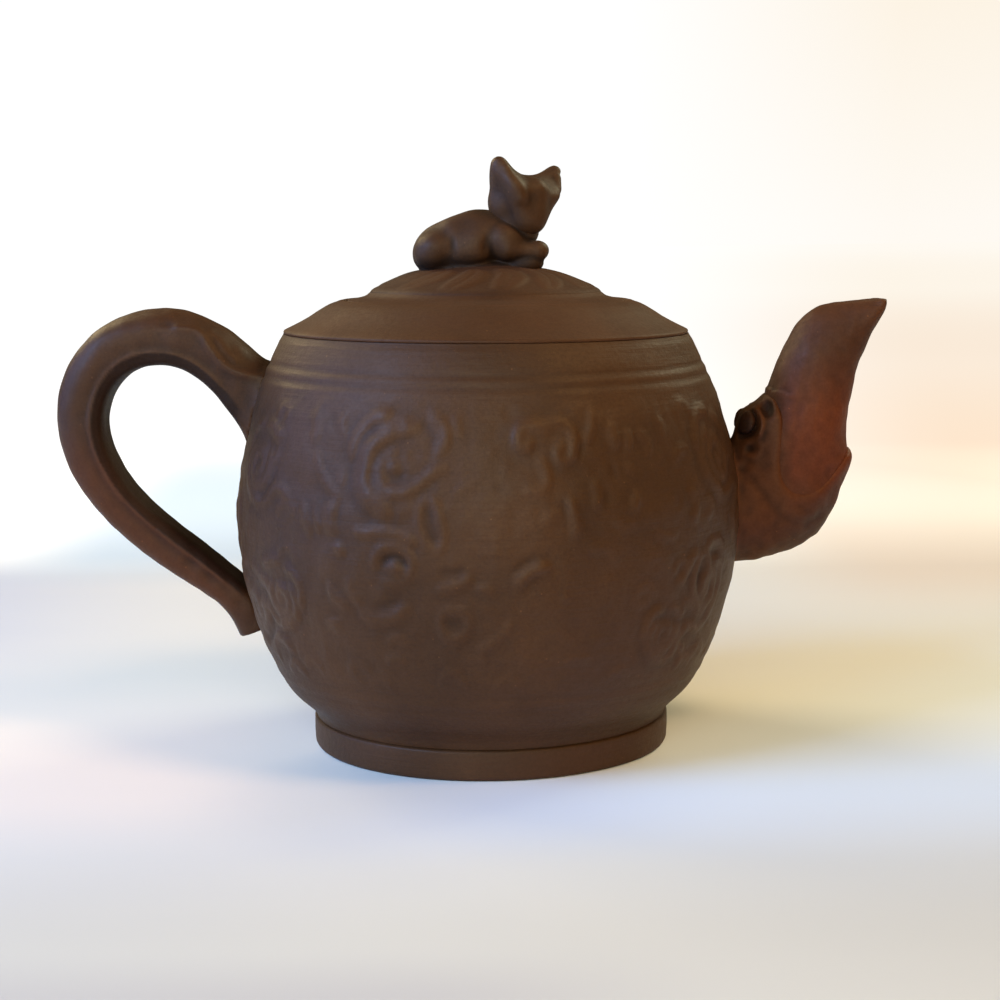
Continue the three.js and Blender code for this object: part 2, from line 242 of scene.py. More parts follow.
def nets(name, field, lo, hi, h, relax=1, cavity=None):
    """Closed smooth skin of the zero level of field(x, y, z), negative inside, mm."""
    lo, hi = np.array(lo, float), np.array(hi, float)
    n = np.ceil((hi - lo) / h).astype(int) + 1
    X, Y, Z = np.meshgrid(*[lo[i] + h * np.arange(n[i]) for i in range(3)], indexing="ij", sparse=True)
    V = np.array(np.broadcast_to(field(X, Y, Z), tuple(n)), float)
    for a in range(3):
        for e in (0, -1):
            s = [slice(None)] * 3
            s[a] = e
            V[tuple(s)] = np.maximum(V[tuple(s)], 0.01)
    c = n - 1
    total = int(np.prod(c))
    acc = np.zeros((3, total))
    cnt = np.zeros(total)
    faces = []
    for a in range(3):
        s0 = [slice(None)] * 3
        s1 = [slice(None)] * 3
        s0[a], s1[a] = slice(0, -1), slice(1, None)
        v0, v1 = V[tuple(s0)], V[tuple(s1)]
        idx = np.stack(np.nonzero((v0 < 0) != (v1 < 0)), 1)
        a0, a1 = v0[tuple(idx.T)], v1[tuple(idx.T)]
        p = idx.astype(float)
        p[:, a] += a0 / (a0 - a1)
        b, d = (a + 1) % 3, (a + 2) % 3
        ids = []
        for db, dd in ((-1, -1), (0, -1), (0, 0), (-1, 0)):
            q = idx.copy()
            q[:, b] += db
            q[:, d] += dd
            ok = np.all((q >= 0) & (q < c), 1)
            flat = np.where(ok, (q[:, 0] * c[1] + q[:, 1]) * c[2] + q[:, 2], 0)
            w = ok.astype(float)
            for k in range(3):
                acc[k] += np.bincount(flat, weights=p[:, k] * w, minlength=total)
            cnt += np.bincount(flat, weights=w, minlength=total)
            ids.append(np.where(ok, flat, -1))
        f = np.stack(ids, 1)
        f = f[np.all(f >= 0, 1)] if len(f) else f
        keep = np.all(np.stack(ids, 1) >= 0, 1)
        flip = a0[keep] >= 0
        f[flip] = f[flip][:, ::-1]
        faces.append(f)
    used = cnt > 0
    number = np.cumsum(used) - 1
    verts = (acc[:, used] / cnt[used]).T * h + lo
    quads = number[np.concatenate(faces)]
    for _ in range(relax):
        for rate in (0.5, -0.52):
            s = np.zeros_like(verts)
            m = np.zeros(len(verts))
            for i, j in ((0, 1), (1, 2), (2, 3), (3, 0)):
                for u, v in ((i, j), (j, i)):
                    for k in range(3):
                        s[:, k] += np.bincount(quads[:, u], weights=verts[quads[:, v], k], minlength=len(verts))
                    m += np.bincount(quads[:, u], minlength=len(verts))
            verts = verts + rate * (s / m[:, None] - verts)
    # painted shade and painted highlight: curvature darkens hollows and lightens ridges through the cavity attribute,
    # and any painted shade passed in is added
    cav = 0.5 + crease(verts, quads, h)
    if cavity:
        cav = cav + cavity(verts[:, 0], verts[:, 1], verts[:, 2])
    return build_mesh(name, verts, quads, None, {"cavity": np.clip(cav, 0, 1)})


def ring_mean(values, quads):
    """Mean of the neighbours of each vertex."""
    n = len(values)
    s = np.zeros_like(values)
    m = np.zeros(n)
    for i, j in ((0, 1), (1, 2), (2, 3), (3, 0)):
        for u, v in ((i, j), (j, i)):
            if values.ndim == 1:
                s += np.bincount(quads[:, u], weights=values[quads[:, v]], minlength=n)
            else:
                for k in range(values.shape[1]):
                    s[:, k] += np.bincount(quads[:, u], weights=values[quads[:, v], k], minlength=n)
            m += np.bincount(quads[:, u], minlength=n)
    return s / (m[:, None] if values.ndim > 1 else m)


def crease(verts, quads, h, rounds=3):
    """Signed curvature of a skin: above zero on ridges, below zero in hollows."""
    fn = np.cross(verts[quads[:, 2]] - verts[quads[:, 0]], verts[quads[:, 3]] - verts[quads[:, 1]])
    normal = np.zeros_like(verts)
    for i in range(4):
        for k in range(3):
            normal[:, k] += np.bincount(quads[:, i], weights=fn[:, k], minlength=len(verts))
    normal /= np.linalg.norm(normal, axis=1)[:, None] + 1e-12
    wide = verts
    for _ in range(4):
        wide = ring_mean(wide, quads)
    c = np.sum((verts - wide) * normal, 1) / (h * h)
    for _ in range(rounds):
        c = 0.5 * c + 0.5 * ring_mean(c, quads)
    c = c * 0.9 - 0.12
    return np.clip(np.where(c > 0, 0.55 * c, c), -0.5, 0.5)


# ---------------------------------------------------------------- signed shapes
def turn(x, y, z, centre, angles):
    """Coordinates in a frame at centre, turned by angles (degrees) about X, then Y, then Z."""
    m = (Matrix.Rotation(math.radians(angles[2]), 3, "Z") @ Matrix.Rotation(math.radians(angles[1]), 3, "Y")
         @ Matrix.Rotation(math.radians(angles[0]), 3, "X"))
    m = np.array(m.transposed())
    px, py, pz = x - centre[0], y - centre[1], z - centre[2]
    return (m[0, 0] * px + m[0, 1] * py + m[0, 2] * pz,
            m[1, 0] * px + m[1, 1] * py + m[1, 2] * pz,
            m[2, 0] * px + m[2, 1] * py + m[2, 2] * pz)


def egg(x, y, z, centre, radii, angles=(0, 0, 0)):
    px, py, pz = turn(x, y, z, centre, angles)
    k0 = np.sqrt((px / radii[0]) ** 2 + (py / radii[1]) ** 2 + (pz / radii[2]) ** 2) + 1e-9
    k1 = np.sqrt((px / radii[0] ** 2) ** 2 + (py / radii[1] ** 2) ** 2 + (pz / radii[2] ** 2) ** 2) + 1e-9
    return k0 * (k0 - 1) / k1


def limb(x, y, z, a, b, ra, rb):
    """Rounded cone from a to b."""
    a, b = np.array(a, float), np.array(b, float)
    d = b - a
    q = d @ d
    t = np.clip(((x - a[0]) * d[0] + (y - a[1]) * d[1] + (z - a[2]) * d[2]) / q, 0, 1)
    r = ra + (rb - ra) * t
    return np.sqrt((x - a[0] - t * d[0]) ** 2 + (y - a[1] - t * d[1]) ** 2 + (z - a[2] - t * d[2]) ** 2) - r


def join(a, b, k):
    h = np.clip(0.5 + 0.5 * (b - a) / k, 0, 1)
    return b + (a - b) * h - k * h * (1 - h)


def cut(a, b, k):
    """a without b, with a rounded edge of about k."""
    return -join(-a, b, k)


# ---------------------------------------------------------------- clay
def clay(name, dark, light, rough, grain=1.0, marks=0.0, warm=None, shine=0.22, tints=()):
    m = bpy.data.materials.new(name)
    m.use_nodes = True
    nt = m.node_tree
    N, L = nt.nodes, nt.links
    b = N["Principled BSDF"]
    b.inputs["Specular IOR Level"].default_value = shine
    tc = N.new("ShaderNodeTexCoord")

    def noise(scale, detail=4.0, rough_=0.55, vec=None, dist=0.0):
        n = N.new("ShaderNodeTexNoise")
        n.inputs["Scale"].default_value = scale
        n.inputs["Detail"].default_value = detail
        n.inputs["Roughness"].default_value = rough_
        n.inputs["Distortion"].default_value = dist
        L.new(vec or tc.outputs["Object"], n.inputs["Vector"])
        return n.outputs["Fac"]

    def ramp(src, stops):
        r = N.new("ShaderNodeValToRGB")
        e = r.color_ramp.elements
        e[0].position, e[0].color = stops[0][0], (*stops[0][1], 1)
        e[1].position, e[1].color = stops[-1][0], (*stops[-1][1], 1)
        for pos, col in stops[1:-1]:
            k = e.new(pos)
            k.color = (*col, 1)
        L.new(src, r.inputs["Fac"])
        return r.outputs["Color"]

    def mixc(kind, fac, a, c):
        n = N.new("ShaderNodeMix")
        n.data_type = "RGBA"
        n.blend_type = kind
        if isinstance(fac, (int, float)):
            n.inputs[0].default_value = fac
        else:
            L.new(fac, n.inputs[0])
        for sock, v in ((6, a), (7, c)):
            if isinstance(v, tuple):
                n.inputs[sock].default_value = (*v, 1)
            else:
                L.new(v, n.inputs[sock])
        return n.outputs[2]

    def math_(op, a, c=None):
        n = N.new("ShaderNodeMath")
        n.operation = op
        for sock, v in ((0, a), (1, c)):
            if v is None:
                continue
            if isinstance(v, (int, float)):
                n.inputs[sock].default_value = v
            else:
                L.new(v, n.inputs[sock])
        return n.outputs[0]

    def remap(src, a, c, lo, hi):
        n = N.new("ShaderNodeMapRange")
        for k, v in zip(("From Min", "From Max", "To Min", "To Max"), (a, c, lo, hi)):
            n.inputs[k].default_value = v
        L.new(src, n.inputs["Value"])
        return n.outputs["Result"]

    mid = tuple((p + q) / 2 for p, q in zip(dark, light))
    cloudy = noise(28, 5, 0.55, dist=0.4)
    base = ramp(cloudy, [(0.30, dark), (0.52, mid), (0.72, light)])
    if warm:
        base = mixc("MIX", remap(noise(14, 3, 0.5), 0.45, 0.65, 0.0, 0.6), base, warm)
    # sand in the clay: fine dark and pale specks
    fine = noise(1500, 2, 0.6)
    base = mixc("MULTIPLY", 0.32, base, ramp(fine, [(0.30, (0.62, 0.60, 0.60)), (0.55, (1.0, 1.0, 1.0)), (0.75, (1.22, 1.18, 1.12))]))
    speck = N.new("ShaderNodeTexVoronoi")
    speck.inputs["Scale"].default_value = 620
    L.new(tc.outputs["Object"], speck.inputs["Vector"])
    pale = remap(speck.outputs["Distance"], 0.10, 0.16, 1.0, 0.0)
    pick = remap(noise(900, 1, 0.5), 0.62, 0.68, 0.0, 0.5)
    base = mixc("MIX", math_("MULTIPLY", pale, pick), base, tuple(min(1, 2.1 * c) for c in light))
    # painted shade and painted highlight: the cavity attribute darkens hollows and shaded faces and makes ridges paler;
    # it also makes hollows rougher and ridges smoother
    at = N.new("ShaderNodeAttribute")
    at.attribute_name = "cavity"
    base = mixc("MULTIPLY", 1.0, base, ramp(at.outputs["Fac"], [(0.0, (0.34, 0.30, 0.28)), (0.5, (1.0, 1.0, 1.0)), (1.0, (1.14, 1.13, 1.12))]))
    # some parts are made redder or warmer: colour, and where it starts and is full along X and Z
    where = N.new("ShaderNodeSeparateXYZ")
    L.new(tc.outputs["Object"], where.inputs[0])
    for tint, zones in tints:
        fac = None
        for axis, a, c in zones:
            f = remap(where.outputs[axis], a, c, 0.0, 1.0)
            fac = f if fac is None else math_("MULTIPLY", fac, f)
        base = mixc("MULTIPLY", fac, base, tint)
    L.new(base, b.inputs["Base Color"])

    r1 = remap(noise(60, 4, 0.6), 0.3, 0.7, rough - 0.05, rough + 0.07)
    r2 = math_("ADD", r1, remap(at.outputs["Fac"], 0.0, 1.0, 0.12, -0.06))
    r3 = math_("ADD", r2, remap(fine, 0.3, 0.7, 0.05, -0.04))
    L.new(r3, b.inputs["Roughness"])

    bump1 = N.new("ShaderNodeBump")
    bump1.inputs["Strength"].default_value = 0.24 * grain
    bump1.inputs["Distance"].default_value = 0.00012
    L.new(noise(3200, 3, 0.65), bump1.inputs["Height"])
    bump2 = N.new("ShaderNodeBump")
    bump2.inputs["Strength"].default_value = 0.32 * grain
    bump2.inputs["Distance"].default_value = 0.00035
    L.new(noise(420, 4, 0.6), bump2.inputs["Height"])
    L.new(bump1.outputs["Normal"], bump2.inputs["Normal"])
    out = bump2
    if marks:
        stretch = N.new("ShaderNodeMapping")
        stretch.inputs["Scale"].default_value = (0.06, 0.06, 1.0)
        L.new(tc.outputs["Object"], stretch.inputs["Vector"])
        bump3 = N.new("ShaderNodeBump")
        bump3.inputs["Strength"].default_value = marks
        bump3.inputs["Distance"].default_value = 0.00025
        L.new(noise(1000, 3, 0.6, vec=stretch.outputs["Vector"]), bump3.inputs["Height"])
        L.new(bump2.outputs["Normal"], bump3.inputs["Normal"])
        out = bump3
    L.new(out.outputs["Normal"], b.inputs["Normal"])
    return m


mats = {
    "clay_body": clay("clay_body", (0.047, 0.0180, 0.0062), (0.080, 0.0322, 0.0115), 0.50, 1.0, 0.42),
    "clay_inside": clay("clay_inside", (0.054, 0.0230, 0.0085), (0.090, 0.0400, 0.0145), 0.75, 1.2, 0.4),
    "clay_spout": clay("clay_spout", (0.055, 0.0162, 0.0052), (0.089, 0.0284, 0.0092), 0.56, 1.0, 0.0,
                       tints=[((1.62, 1.10, 0.84), [("X", 0.0665, 0.0700), ("Z", 0.050, 0.060), ("Z", 0.086, 0.072)]),
                              ((1.20, 1.04, 0.72), [("X", 0.0720, 0.0640), ("Z", 0.068, 0.058)])]),
    "clay_handle": clay("clay_handle", (0.042, 0.0150, 0.0054), (0.073, 0.0272, 0.0098), 0.50, 1.0, 0.0,
                        tints=[((1.28, 1.02, 0.80), [("X", -0.046, -0.056), ("Z", 0.072, 0.062), ("Z", 0.026, 0.034)])]),
    "clay_lid": clay("clay_lid", (0.053, 0.0188, 0.0058), (0.091, 0.0330, 0.0105), 0.58, 1.0, 0.2),
    "clay_knob": clay("clay_knob", (0.042, 0.0160, 0.0059), (0.071, 0.0284, 0.0105), 0.54, 0.7, 0.0, shine=0.24),
}

# ---------------------------------------------------------------- belly wall
BELLY = [[6.8, 38.9], [8.0, 39.45], [10.0, 41.1], [12, 43.2], [18, 47.35], [25, 50.35], [33, 52.5], [41, 54.1], [49, 54.8],
         [57, 54.75], [65, 53.35], [73, 51.45], [80, 49.1], [86, 46.4], [88.5, 45.2], [90.3, 44.2]]


def belly_r(z):
    z = np.asarray(z, float)
    return spline(BELLY, at=np.clip(z, 6.8, 90.3).ravel())[:, 0].reshape(z.shape)


# relief, drawn as lines: [points (u, z) in mm, half width, height]. u runs round the belly from the
# middle of the near side, towards the spout.
def swirl(cu, cz, r0, r1, a0, turns, n=26, squash=1.0):
    t = np.linspace(0, 1, n)
    r = r0 + (r1 - r0) * t ** 0.9
    a = math.radians(a0) + 2 * math.pi * turns * t
    return [[cu + q * math.cos(w), cz + squash * q * math.sin(w)] for q, w in zip(r, a)]


STROKES = [
    # large cloud: an outer crest, a broad band that curls round a spiral heart
    [[[-20.4, 76.3], [-22.6, 76.4], [-24.6, 75.7], [-26.2, 74.3], [-27.6, 72.6], [-28.2, 70.6], [-28.4, 68.2]], 0.8, 0.5],
    [[[-22.4, 74.3], [-24.4, 73.1], [-25.9, 71.6]], 1.0, -0.32],
    [[[-14.6, 74.6], [-17.0, 74.2], [-19.4, 73.4], [-21.4, 72.2], [-23.2, 70.9], [-24.4, 69.0], [-25.1, 66.8], [-25.3, 64.6], [-24.6, 62.6], [-23.0, 61.0],
      [-21.2, 59.6], [-19.4, 57.4]], 1.3, 0.62],
    [[[-18.6, 69.6], [-20.2, 68.8], [-21.2, 67.2], [-21.1, 65.2], [-20.3, 63.5], [-19.0, 62.5], [-17.0, 62.1], [-15.0, 62.8], [-13.4, 64.0], [-11.8, 65.2], [-10.2, 66.3], [-8.4, 67.2]], 0.85, 0.42],
    [[[-19.1, 67.5], [-18.4, 66.8]], 1.5, 0.74],
    [[[-18.2, 64.9], [-16.6, 65.3]], 0.8, -0.30],
    [[[-18.6, 60.2], [-15.8, 60.7], [-13.2, 62.0], [-11.0, 63.7], [-9.0, 65.4]], 0.6, -0.2],
    [[[-16.4, 76.2], [-13.6, 75.4], [-11.8, 73.4], [-11.0, 71.0]], 0.85, -0.2],
    [[[-11.4, 77.2], [-9.3, 75.6], [-7.9, 73.2], [-8.5, 70.6], [-9.9, 69.0]], 0.85, 0.42],
    [[[-6.4, 76.8], [-5.6, 74.8], [-5.6, 72.8]], 0.7, 0.28],
    # leaf beside it
    [[[-10.6, 61.2], [-9.4, 59.2], [-8.7, 56.8], [-8.0, 54.2], [-8.2, 52.2], [-9.2, 50.4]], 0.6, 0.40],
    [[[-10.6, 61.2], [-12.5, 59.8], [-13.2, 57.0], [-12.6, 54.0], [-11.0, 51.6], [-9.2, 50.4]], 0.55, 0.26],
    [[[-11.4, 59.2], [-11.3, 56.6], [-10.8, 54.0], [-9.9, 52.4]], 0.85, -0.32],
    [[[-6.4, 61.8], [-4.6, 63.4], [-2.6, 64.0]], 0.6, 0.24],
    # left side
    [[[-37.4, 69.0], [-36.6, 66.4], [-34.8, 64.1], [-32.6, 62.0], [-30.6, 60.4]], 0.75, 0.42],
    [[[-39.4, 76.6], [-38.6, 73.6], [-39.0, 70.8]], 1.0, 0.34],
    [[[-35.2, 76.4], [-35.0, 74.2]], 0.8, -0.25],
    [[[-31.2, 76.8], [-31.8, 74.6], [-31.0, 72.6]], 0.7, 0.3],
    [[[-30.2, 65.4], [-30.4, 63.2]], 1.0, 0.3],
    [[[-31.6, 59.2], [-32.3, 57.4], [-32.4, 55.6], [-31.2, 54.0]], 1.15, 0.55],
    [[[-31.0, 50.9], [-29.5, 50.0]], 1.0, 1.05],
    [[[-36.9, 57.2], [-36.0, 55.4], [-35.5, 53.2]], 0.7, 0.45],
    [[[-40.2, 58.6], [-39.6, 56.4], [-38.6, 54.2], [-38.2, 52.2]], 0.85, 0.42],
    [[[-33.5, 42.8], [-32.8, 41.0], [-31.4, 39.6], [-29.8, 38.6]], 0.75, 0.52],
    [[[-35.4, 34.6], [-33.8, 34.4], [-32.4, 33.6]], 1.05, 0.36],
    [[[-34.6, 36.9], [-32.4, 36.3]], 0.7, -0.26],
    # brow, and a second spiral under it
    [[[-26.6, 54.5], [-24.6, 54.2], [-22.2, 54.5], [-19.8, 54.6], [-17.6, 54.1], [-15.4, 53.3], [-13.8, 52.4]], 0.7, 0.6],
    [[[-26.3, 54.3], [-25.3, 54.2]], 0.85, 0.95],
    [[[-22.6, 46.8], [-22.5, 49.0], [-21.3, 50.7], [-19.4, 51.5], [-17.2, 51.4], [-15.4, 50.4], [-14.5, 48.4], [-14.9, 46.0], [-16.6, 44.2], [-19.0, 43.6],
      [-21.2, 44.4]], 0.7, 0.42],
    [[[-21.0, 47.9], [-19.7, 49.1], [-18.0, 49.5], [-16.5, 48.8], [-15.6, 47.6]], 0.65, -0.62],
    [[[-18.4, 47.2], [-17.6, 46.7]], 1.5, 0.95],
    [[[-22.6, 42.6], [-21.0, 41.6]], 1.1, 0.3],
    [[[-22.8, 38.7], [-20.9, 39.3], [-19.0, 40.0], [-17.4, 41.2]], 0.75, -0.30],
    [[[-26.2, 38.2], [-24.4, 36.5], [-22.2, 36.2], [-20.0, 36.6], [-18.0, 37.7], [-16.2, 39.4]], 0.85, 0.42],
    [[[-28.5, 43.5], [-27.6, 40.8], [-26.2, 39.0]], 0.75, 0.3],
    [[[-21.0, 32.1], [-18.9, 32.8], [-16.6, 31.6]], 0.7, 0.42],
    [[[-22.4, 27.5], [-20.4, 28.0], [-18.2, 27.3]], 0.7, 0.36],
    # ring and the ridges round it
    [[[-9.6, 43.4], [-7.4, 43.6], [-5.4, 44.2], [-3.4, 45.4]], 0.7, 0.6],
    [[[-9.2, 46.7], [-6.8, 46.6], [-4.4, 47.1]], 0.75, -0.34],
    [swirl(-6.7, 36.0, 2.8, 2.8, 90, 1.0, 22), 0.7, 0.32],
    [[[-9.2, 33.9], [-7.0, 32.8], [-4.8, 33.8]], 0.75, 0.54],
    [[[-7.3, 36.2], [-6.7, 36.2]], 1.3, -0.26],
    [[[-2.0, 43.6], [-0.4, 43.2], [1.0, 42.3]], 0.7, 0.48],
    [[[11.8, 47.0], [9.8, 46.8], [8.2, 46.1], [6.9, 44.9], [6.1, 43.5]], 0.85, 0.82],
    [[[10.4, 48.8], [7.8, 48.2], [5.9, 46.6]], 0.7, -0.24],
    [[[15.0, 41.3], [15.9, 41.1]], 0.8, 0.5],
    [[[4.6, 36.4], [3.8, 34.3], [2.2, 32.8], [0.4, 31.3], [-2.0, 30.1]], 0.65, 0.34],
    [[[-5.2, 29.0], [-3.0, 28.7], [-0.8, 28.8]], 0.42, 0.34],
    [[[-1.4, 53.4], [0.6, 53.6], [2.4, 52.8]], 0.6, 0.22],
    [[[-1.0, 50.8], [0.8, 50.5], [2.2, 51.2]], 0.6, 0.26],
    # right: a cloud head with two inward curls and a trailing tail, then small comma clouds
    [[[9.2, 71.6], [8.2, 70.4], [6.7, 70.8], [6.0, 72.4], [6.8, 74.2], [8.8, 75.3], [11.4, 75.0], [14.2, 75.5], [16.8, 74.9], [18.2, 73.4], [18.5, 71.2], [17.9, 68.9],
      [16.3, 67.6], [14.6, 68.2], [14.5, 69.9], [15.8, 70.6]], 0.8, 0.5],
    [[[19.6, 71.2], [19.3, 68.4]], 0.6, -0.3],
    [[[10.8, 68.6], [12.2, 66.2], [12.0, 63.4], [9.8, 61.8], [7.4, 62.4]], 0.75, 0.32],
    [[[1.4, 63.2], [3.2, 62.4]], 1.4, -0.2],
    [[[10.4, 56.2], [12.4, 57.4], [14.2, 58.2]], 0.75, 0.34],
    [[[15.2, 60.0], [15.5, 57.2]], 0.6, -0.3],
    [[[16.5, 60.6], [17.1, 57.8], [17.8, 55.2], [16.8, 53.0]], 0.75, 0.42],
    [[[23.3, 77.2], [22.9, 75.0], [22.4, 73.0], [21.0, 71.2]], 0.65, 0.42],
    [[[27.9, 74.4], [27.8, 72.2], [28.1, 69.8]], 0.95, 0.48],
    [[[31.6, 73.0], [31.7, 71.0], [30.7, 69.4]], 0.75, 0.44],
    [[[34.2, 73.0], [35.8, 71.3], [36.6, 69.5], [35.9, 67.6]], 0.75, 0.4],
    [[[39.8, 75.2], [41.2, 73.0], [40.8, 70.4]], 0.8, 0.32],
    [[[29.8, 66.2], [31.6, 65.3]], 0.8, 0.36],
    [[[26.3, 66.4], [26.9, 64.0]], 0.8, -0.26],
    [[[31.5, 61.0], [31.3, 59.0], [30.8, 57.2]], 0.75, 0.48],
    [[[22.2, 63.4], [22.6, 60.8], [21.8, 58.2]], 0.7, 0.34],
    [[[24.4, 61.8], [24.1, 58.8]], 0.7, -0.32],
    [[[25.8, 56.2], [28.0, 54.7], [30.6, 54.6]], 0.7, 0.26],
    [[[20.4, 50.2], [23.2, 50.6], [25.6, 49.4], [26.2, 47.2]], 0.75, 0.22],
    [[[36.0, 52.0], [39.0, 51.2], [42.0, 51.6]], 0.75, 0.24],
    [[[9.4, 31.4], [12.2, 33.4], [15.6, 33.0], [17.6, 30.8]], 0.75, 0.2],
    [[[22.2, 32.0], [24.6, 31.4]], 0.9, 0.26],
    [[[30.6, 38.6], [33.2, 37.6], [35.4, 38.6]], 0.75, 0.2],
    [[[16.0, 27.0], [19.0, 28.0], [22.4, 27.2]], 0.7, 0.2],
    [swirl(51.6, 40.2, 2.7, 2.7, 90, 1.0, 24, 2.1), 0.8, 0.46],
    [[[51.2, 42.6], [51.4, 38.2]], 0.8, -0.3],
    [[[47.0, 60.4], [48.6, 57.4], [48.2, 54.4], [46.6, 52.8]], 0.9, 0.36],
    [[[53.4, 58.0], [54.4, 55.4], [53.0, 53.2]], 0.9, 0.34],
]


def cloud(cu, cz, size, lean, mirror):
    """One traditional cloud: a spiral heart, scalloped back and a trailing tail."""
    shapes = [
        (swirl(0, 0, 0.3, 5.2, 200, 1.5), 1.05, 0.56),
        ([[-1.2, 9.0], [-5.0, 8.6], [-7.6, 6.4], [-8.6, 3.2], [-8.2, 0.2]], 0.9, 0.55),
        ([[-3.2, 4.6], [-5.6, 3.0], [-6.6, 0.4], [-6.2, -2.8], [-4.2, -5.4], [-1.6, -7.2], [1.2, -8.6]], 1.1, 0.6),
        ([[2.0, 9.0], [5.2, 8.2], [7.6, 6.4], [10.0, 6.0]], 0.9, 0.48),
        ([[8.4, 1.2], [5.6, -1.2], [3.4, -4.0], [0.6, -5.4]], 0.85, 0.46),
        ([[1.2, -8.6], [4.4, -8.0], [7.2, -6.0], [10.4, -6.4], [13.4, -8.6]], 0.85, 0.45),
    ]
    c, s = math.cos(math.radians(lean)), math.sin(math.radians(lean))
    out = []
    for pts, w, h in shapes:
        q = []
        for a, b in pts:
            a = -a if mirror else a
            a, b = a * size, b * size
            q.append([cu + a * c - b * s, cz + a * s + b * c])
        out.append([q, w * (0.6 + 0.4 * size), h])
    return out


# the same clouds, larger and smaller, go on round the sides and the back
for cu, cz, size, lean, mirror in [
        (-58.0, 65.0, 0.90, 10, False), (-49.5, 38.0, 0.80, -15, True), (-64.0, 34.0, 1.0, 5, False),
        (54.5, 38.5, 1.0, 20, True), (60.0, 66.0, 0.95, -10, False), (41.0, 30.0, 0.62, 5, False),
        (76.0, 50.0, 0.9, 30, False), (-78.0, 52.0, 1.0, -20, True), (96.0, 66.0, 1.0, 8, True), (92.0, 36.0, 0.85, -12, False),
        (114.0, 50.0, 1.05, 15, False), (133.0, 66.0, 0.9, -8, True), (132.0, 34.0, 0.85, 12, False), (151.0, 50.0, 1.05, -18, True),
        (-97.0, 66.0, 0.95, 12, False), (-95.0, 35.0, 0.9, -10, True), (-115.0, 50.0, 1.05, 10, False), (-134.0, 66.0, 0.9, -14, True),
        (-133.0, 34.0, 0.9, 16, False), (-151.0, 52.0, 1.0, 0, False), (168.0, 67.0, 0.85, 10, False), (168.5, 34.0, 0.85, -10, True)]:
    STROKES += cloud(cu, cz, size, lean, mirror)
rng = np.random.default_rng(11)
for cu in np.arange(-165, 166, 8.0):  # loose curls between the clouds, above the lower line
    if -47 < cu < 46:
        continue
    a = cu + rng.uniform(-2, 2)
    z = rng.uniform(21.5, 24.0)
    STROKES.append([[[a - 3.2, z - 0.6], [a - 1.0, z + 1.4], [a + 1.8, z + 1.2], [a + 3.4, z - 1.0]], 0.8, 0.36])
for cu, cz in [(-46, 57), (-52, 76), (-44, 24), (-30, 25), (-8, 24), (4, 22.5), (30, 22.8), (44, 44), (46, 67), (50, 76), (34, 40), (-25, 22), (-46, 48)]:
    STROKES.append([[[cu - 3.0, cz - 0.8], [cu - 1.0, cz + 1.2], [cu + 1.6, cz + 1.0], [cu + 3.0, cz - 1.2]], 0.75, 0.24])

# the broad soft masses under the lines
MASSES = [
    ([[-21.5, 75.0], [-24.0, 71.0], [-23.8, 66.0], [-21.0, 61.5], [-16.5, 60.5]], 3.2, 0.44),
    ([[-19.5, 71.0], [-17.0, 68.0]], 2.6, 0.16),
    ([[8.0, 73.5], [13.0, 73.6], [17.6, 71.0]], 2.8, 0.28),
    ([[-23.0, 52.0], [-18.5, 50.0], [-15.0, 46.5]], 2.7, 0.22),
    ([[-35.5, 57.0], [-33.0, 52.0], [-34.0, 47.0]], 2.8, 0.22),
    ([[-24.0, 37.0], [-18.0, 38.5]], 2.4, 0.20),
    ([[16.5, 60.0], [17.0, 54.0]], 2.2, 0.18),
    ([[28.0, 73.5], [30.5, 70.0]], 2.6, 0.20),
    ([[34.5, 48.0], [39.0, 44.0], [41.0, 38.0]], 2.8, 0.24),
    ([[-41.0, 71.0], [-39.0, 64.0]], 2.8, 0.22),
]

CELL = 0.25
NU = int(round(2 * math.pi * GIRTH_R / CELL))
Z0, Z1 = 12.0, 90.0
NZ = int((Z1 - Z0) / CELL) + 1


def blur(H, r):
    k = np.exp(-0.5 * (np.arange(-3 * r, 3 * r + 1) / r) ** 2)
    k /= k.sum()
    out = np.zeros_like(H)
    for i, w in zip(range(-3 * r, 3 * r + 1), k):
        out += w * np.roll(H, i, 1)
    pad = np.pad(out, ((3 * r, 3 * r), (0, 0)), mode="edge")
    out = np.zeros_like(H)
    for i, w in zip(range(0, 6 * r + 1), k):
        out += w * pad[i:i + H.shape[0]]
    return out


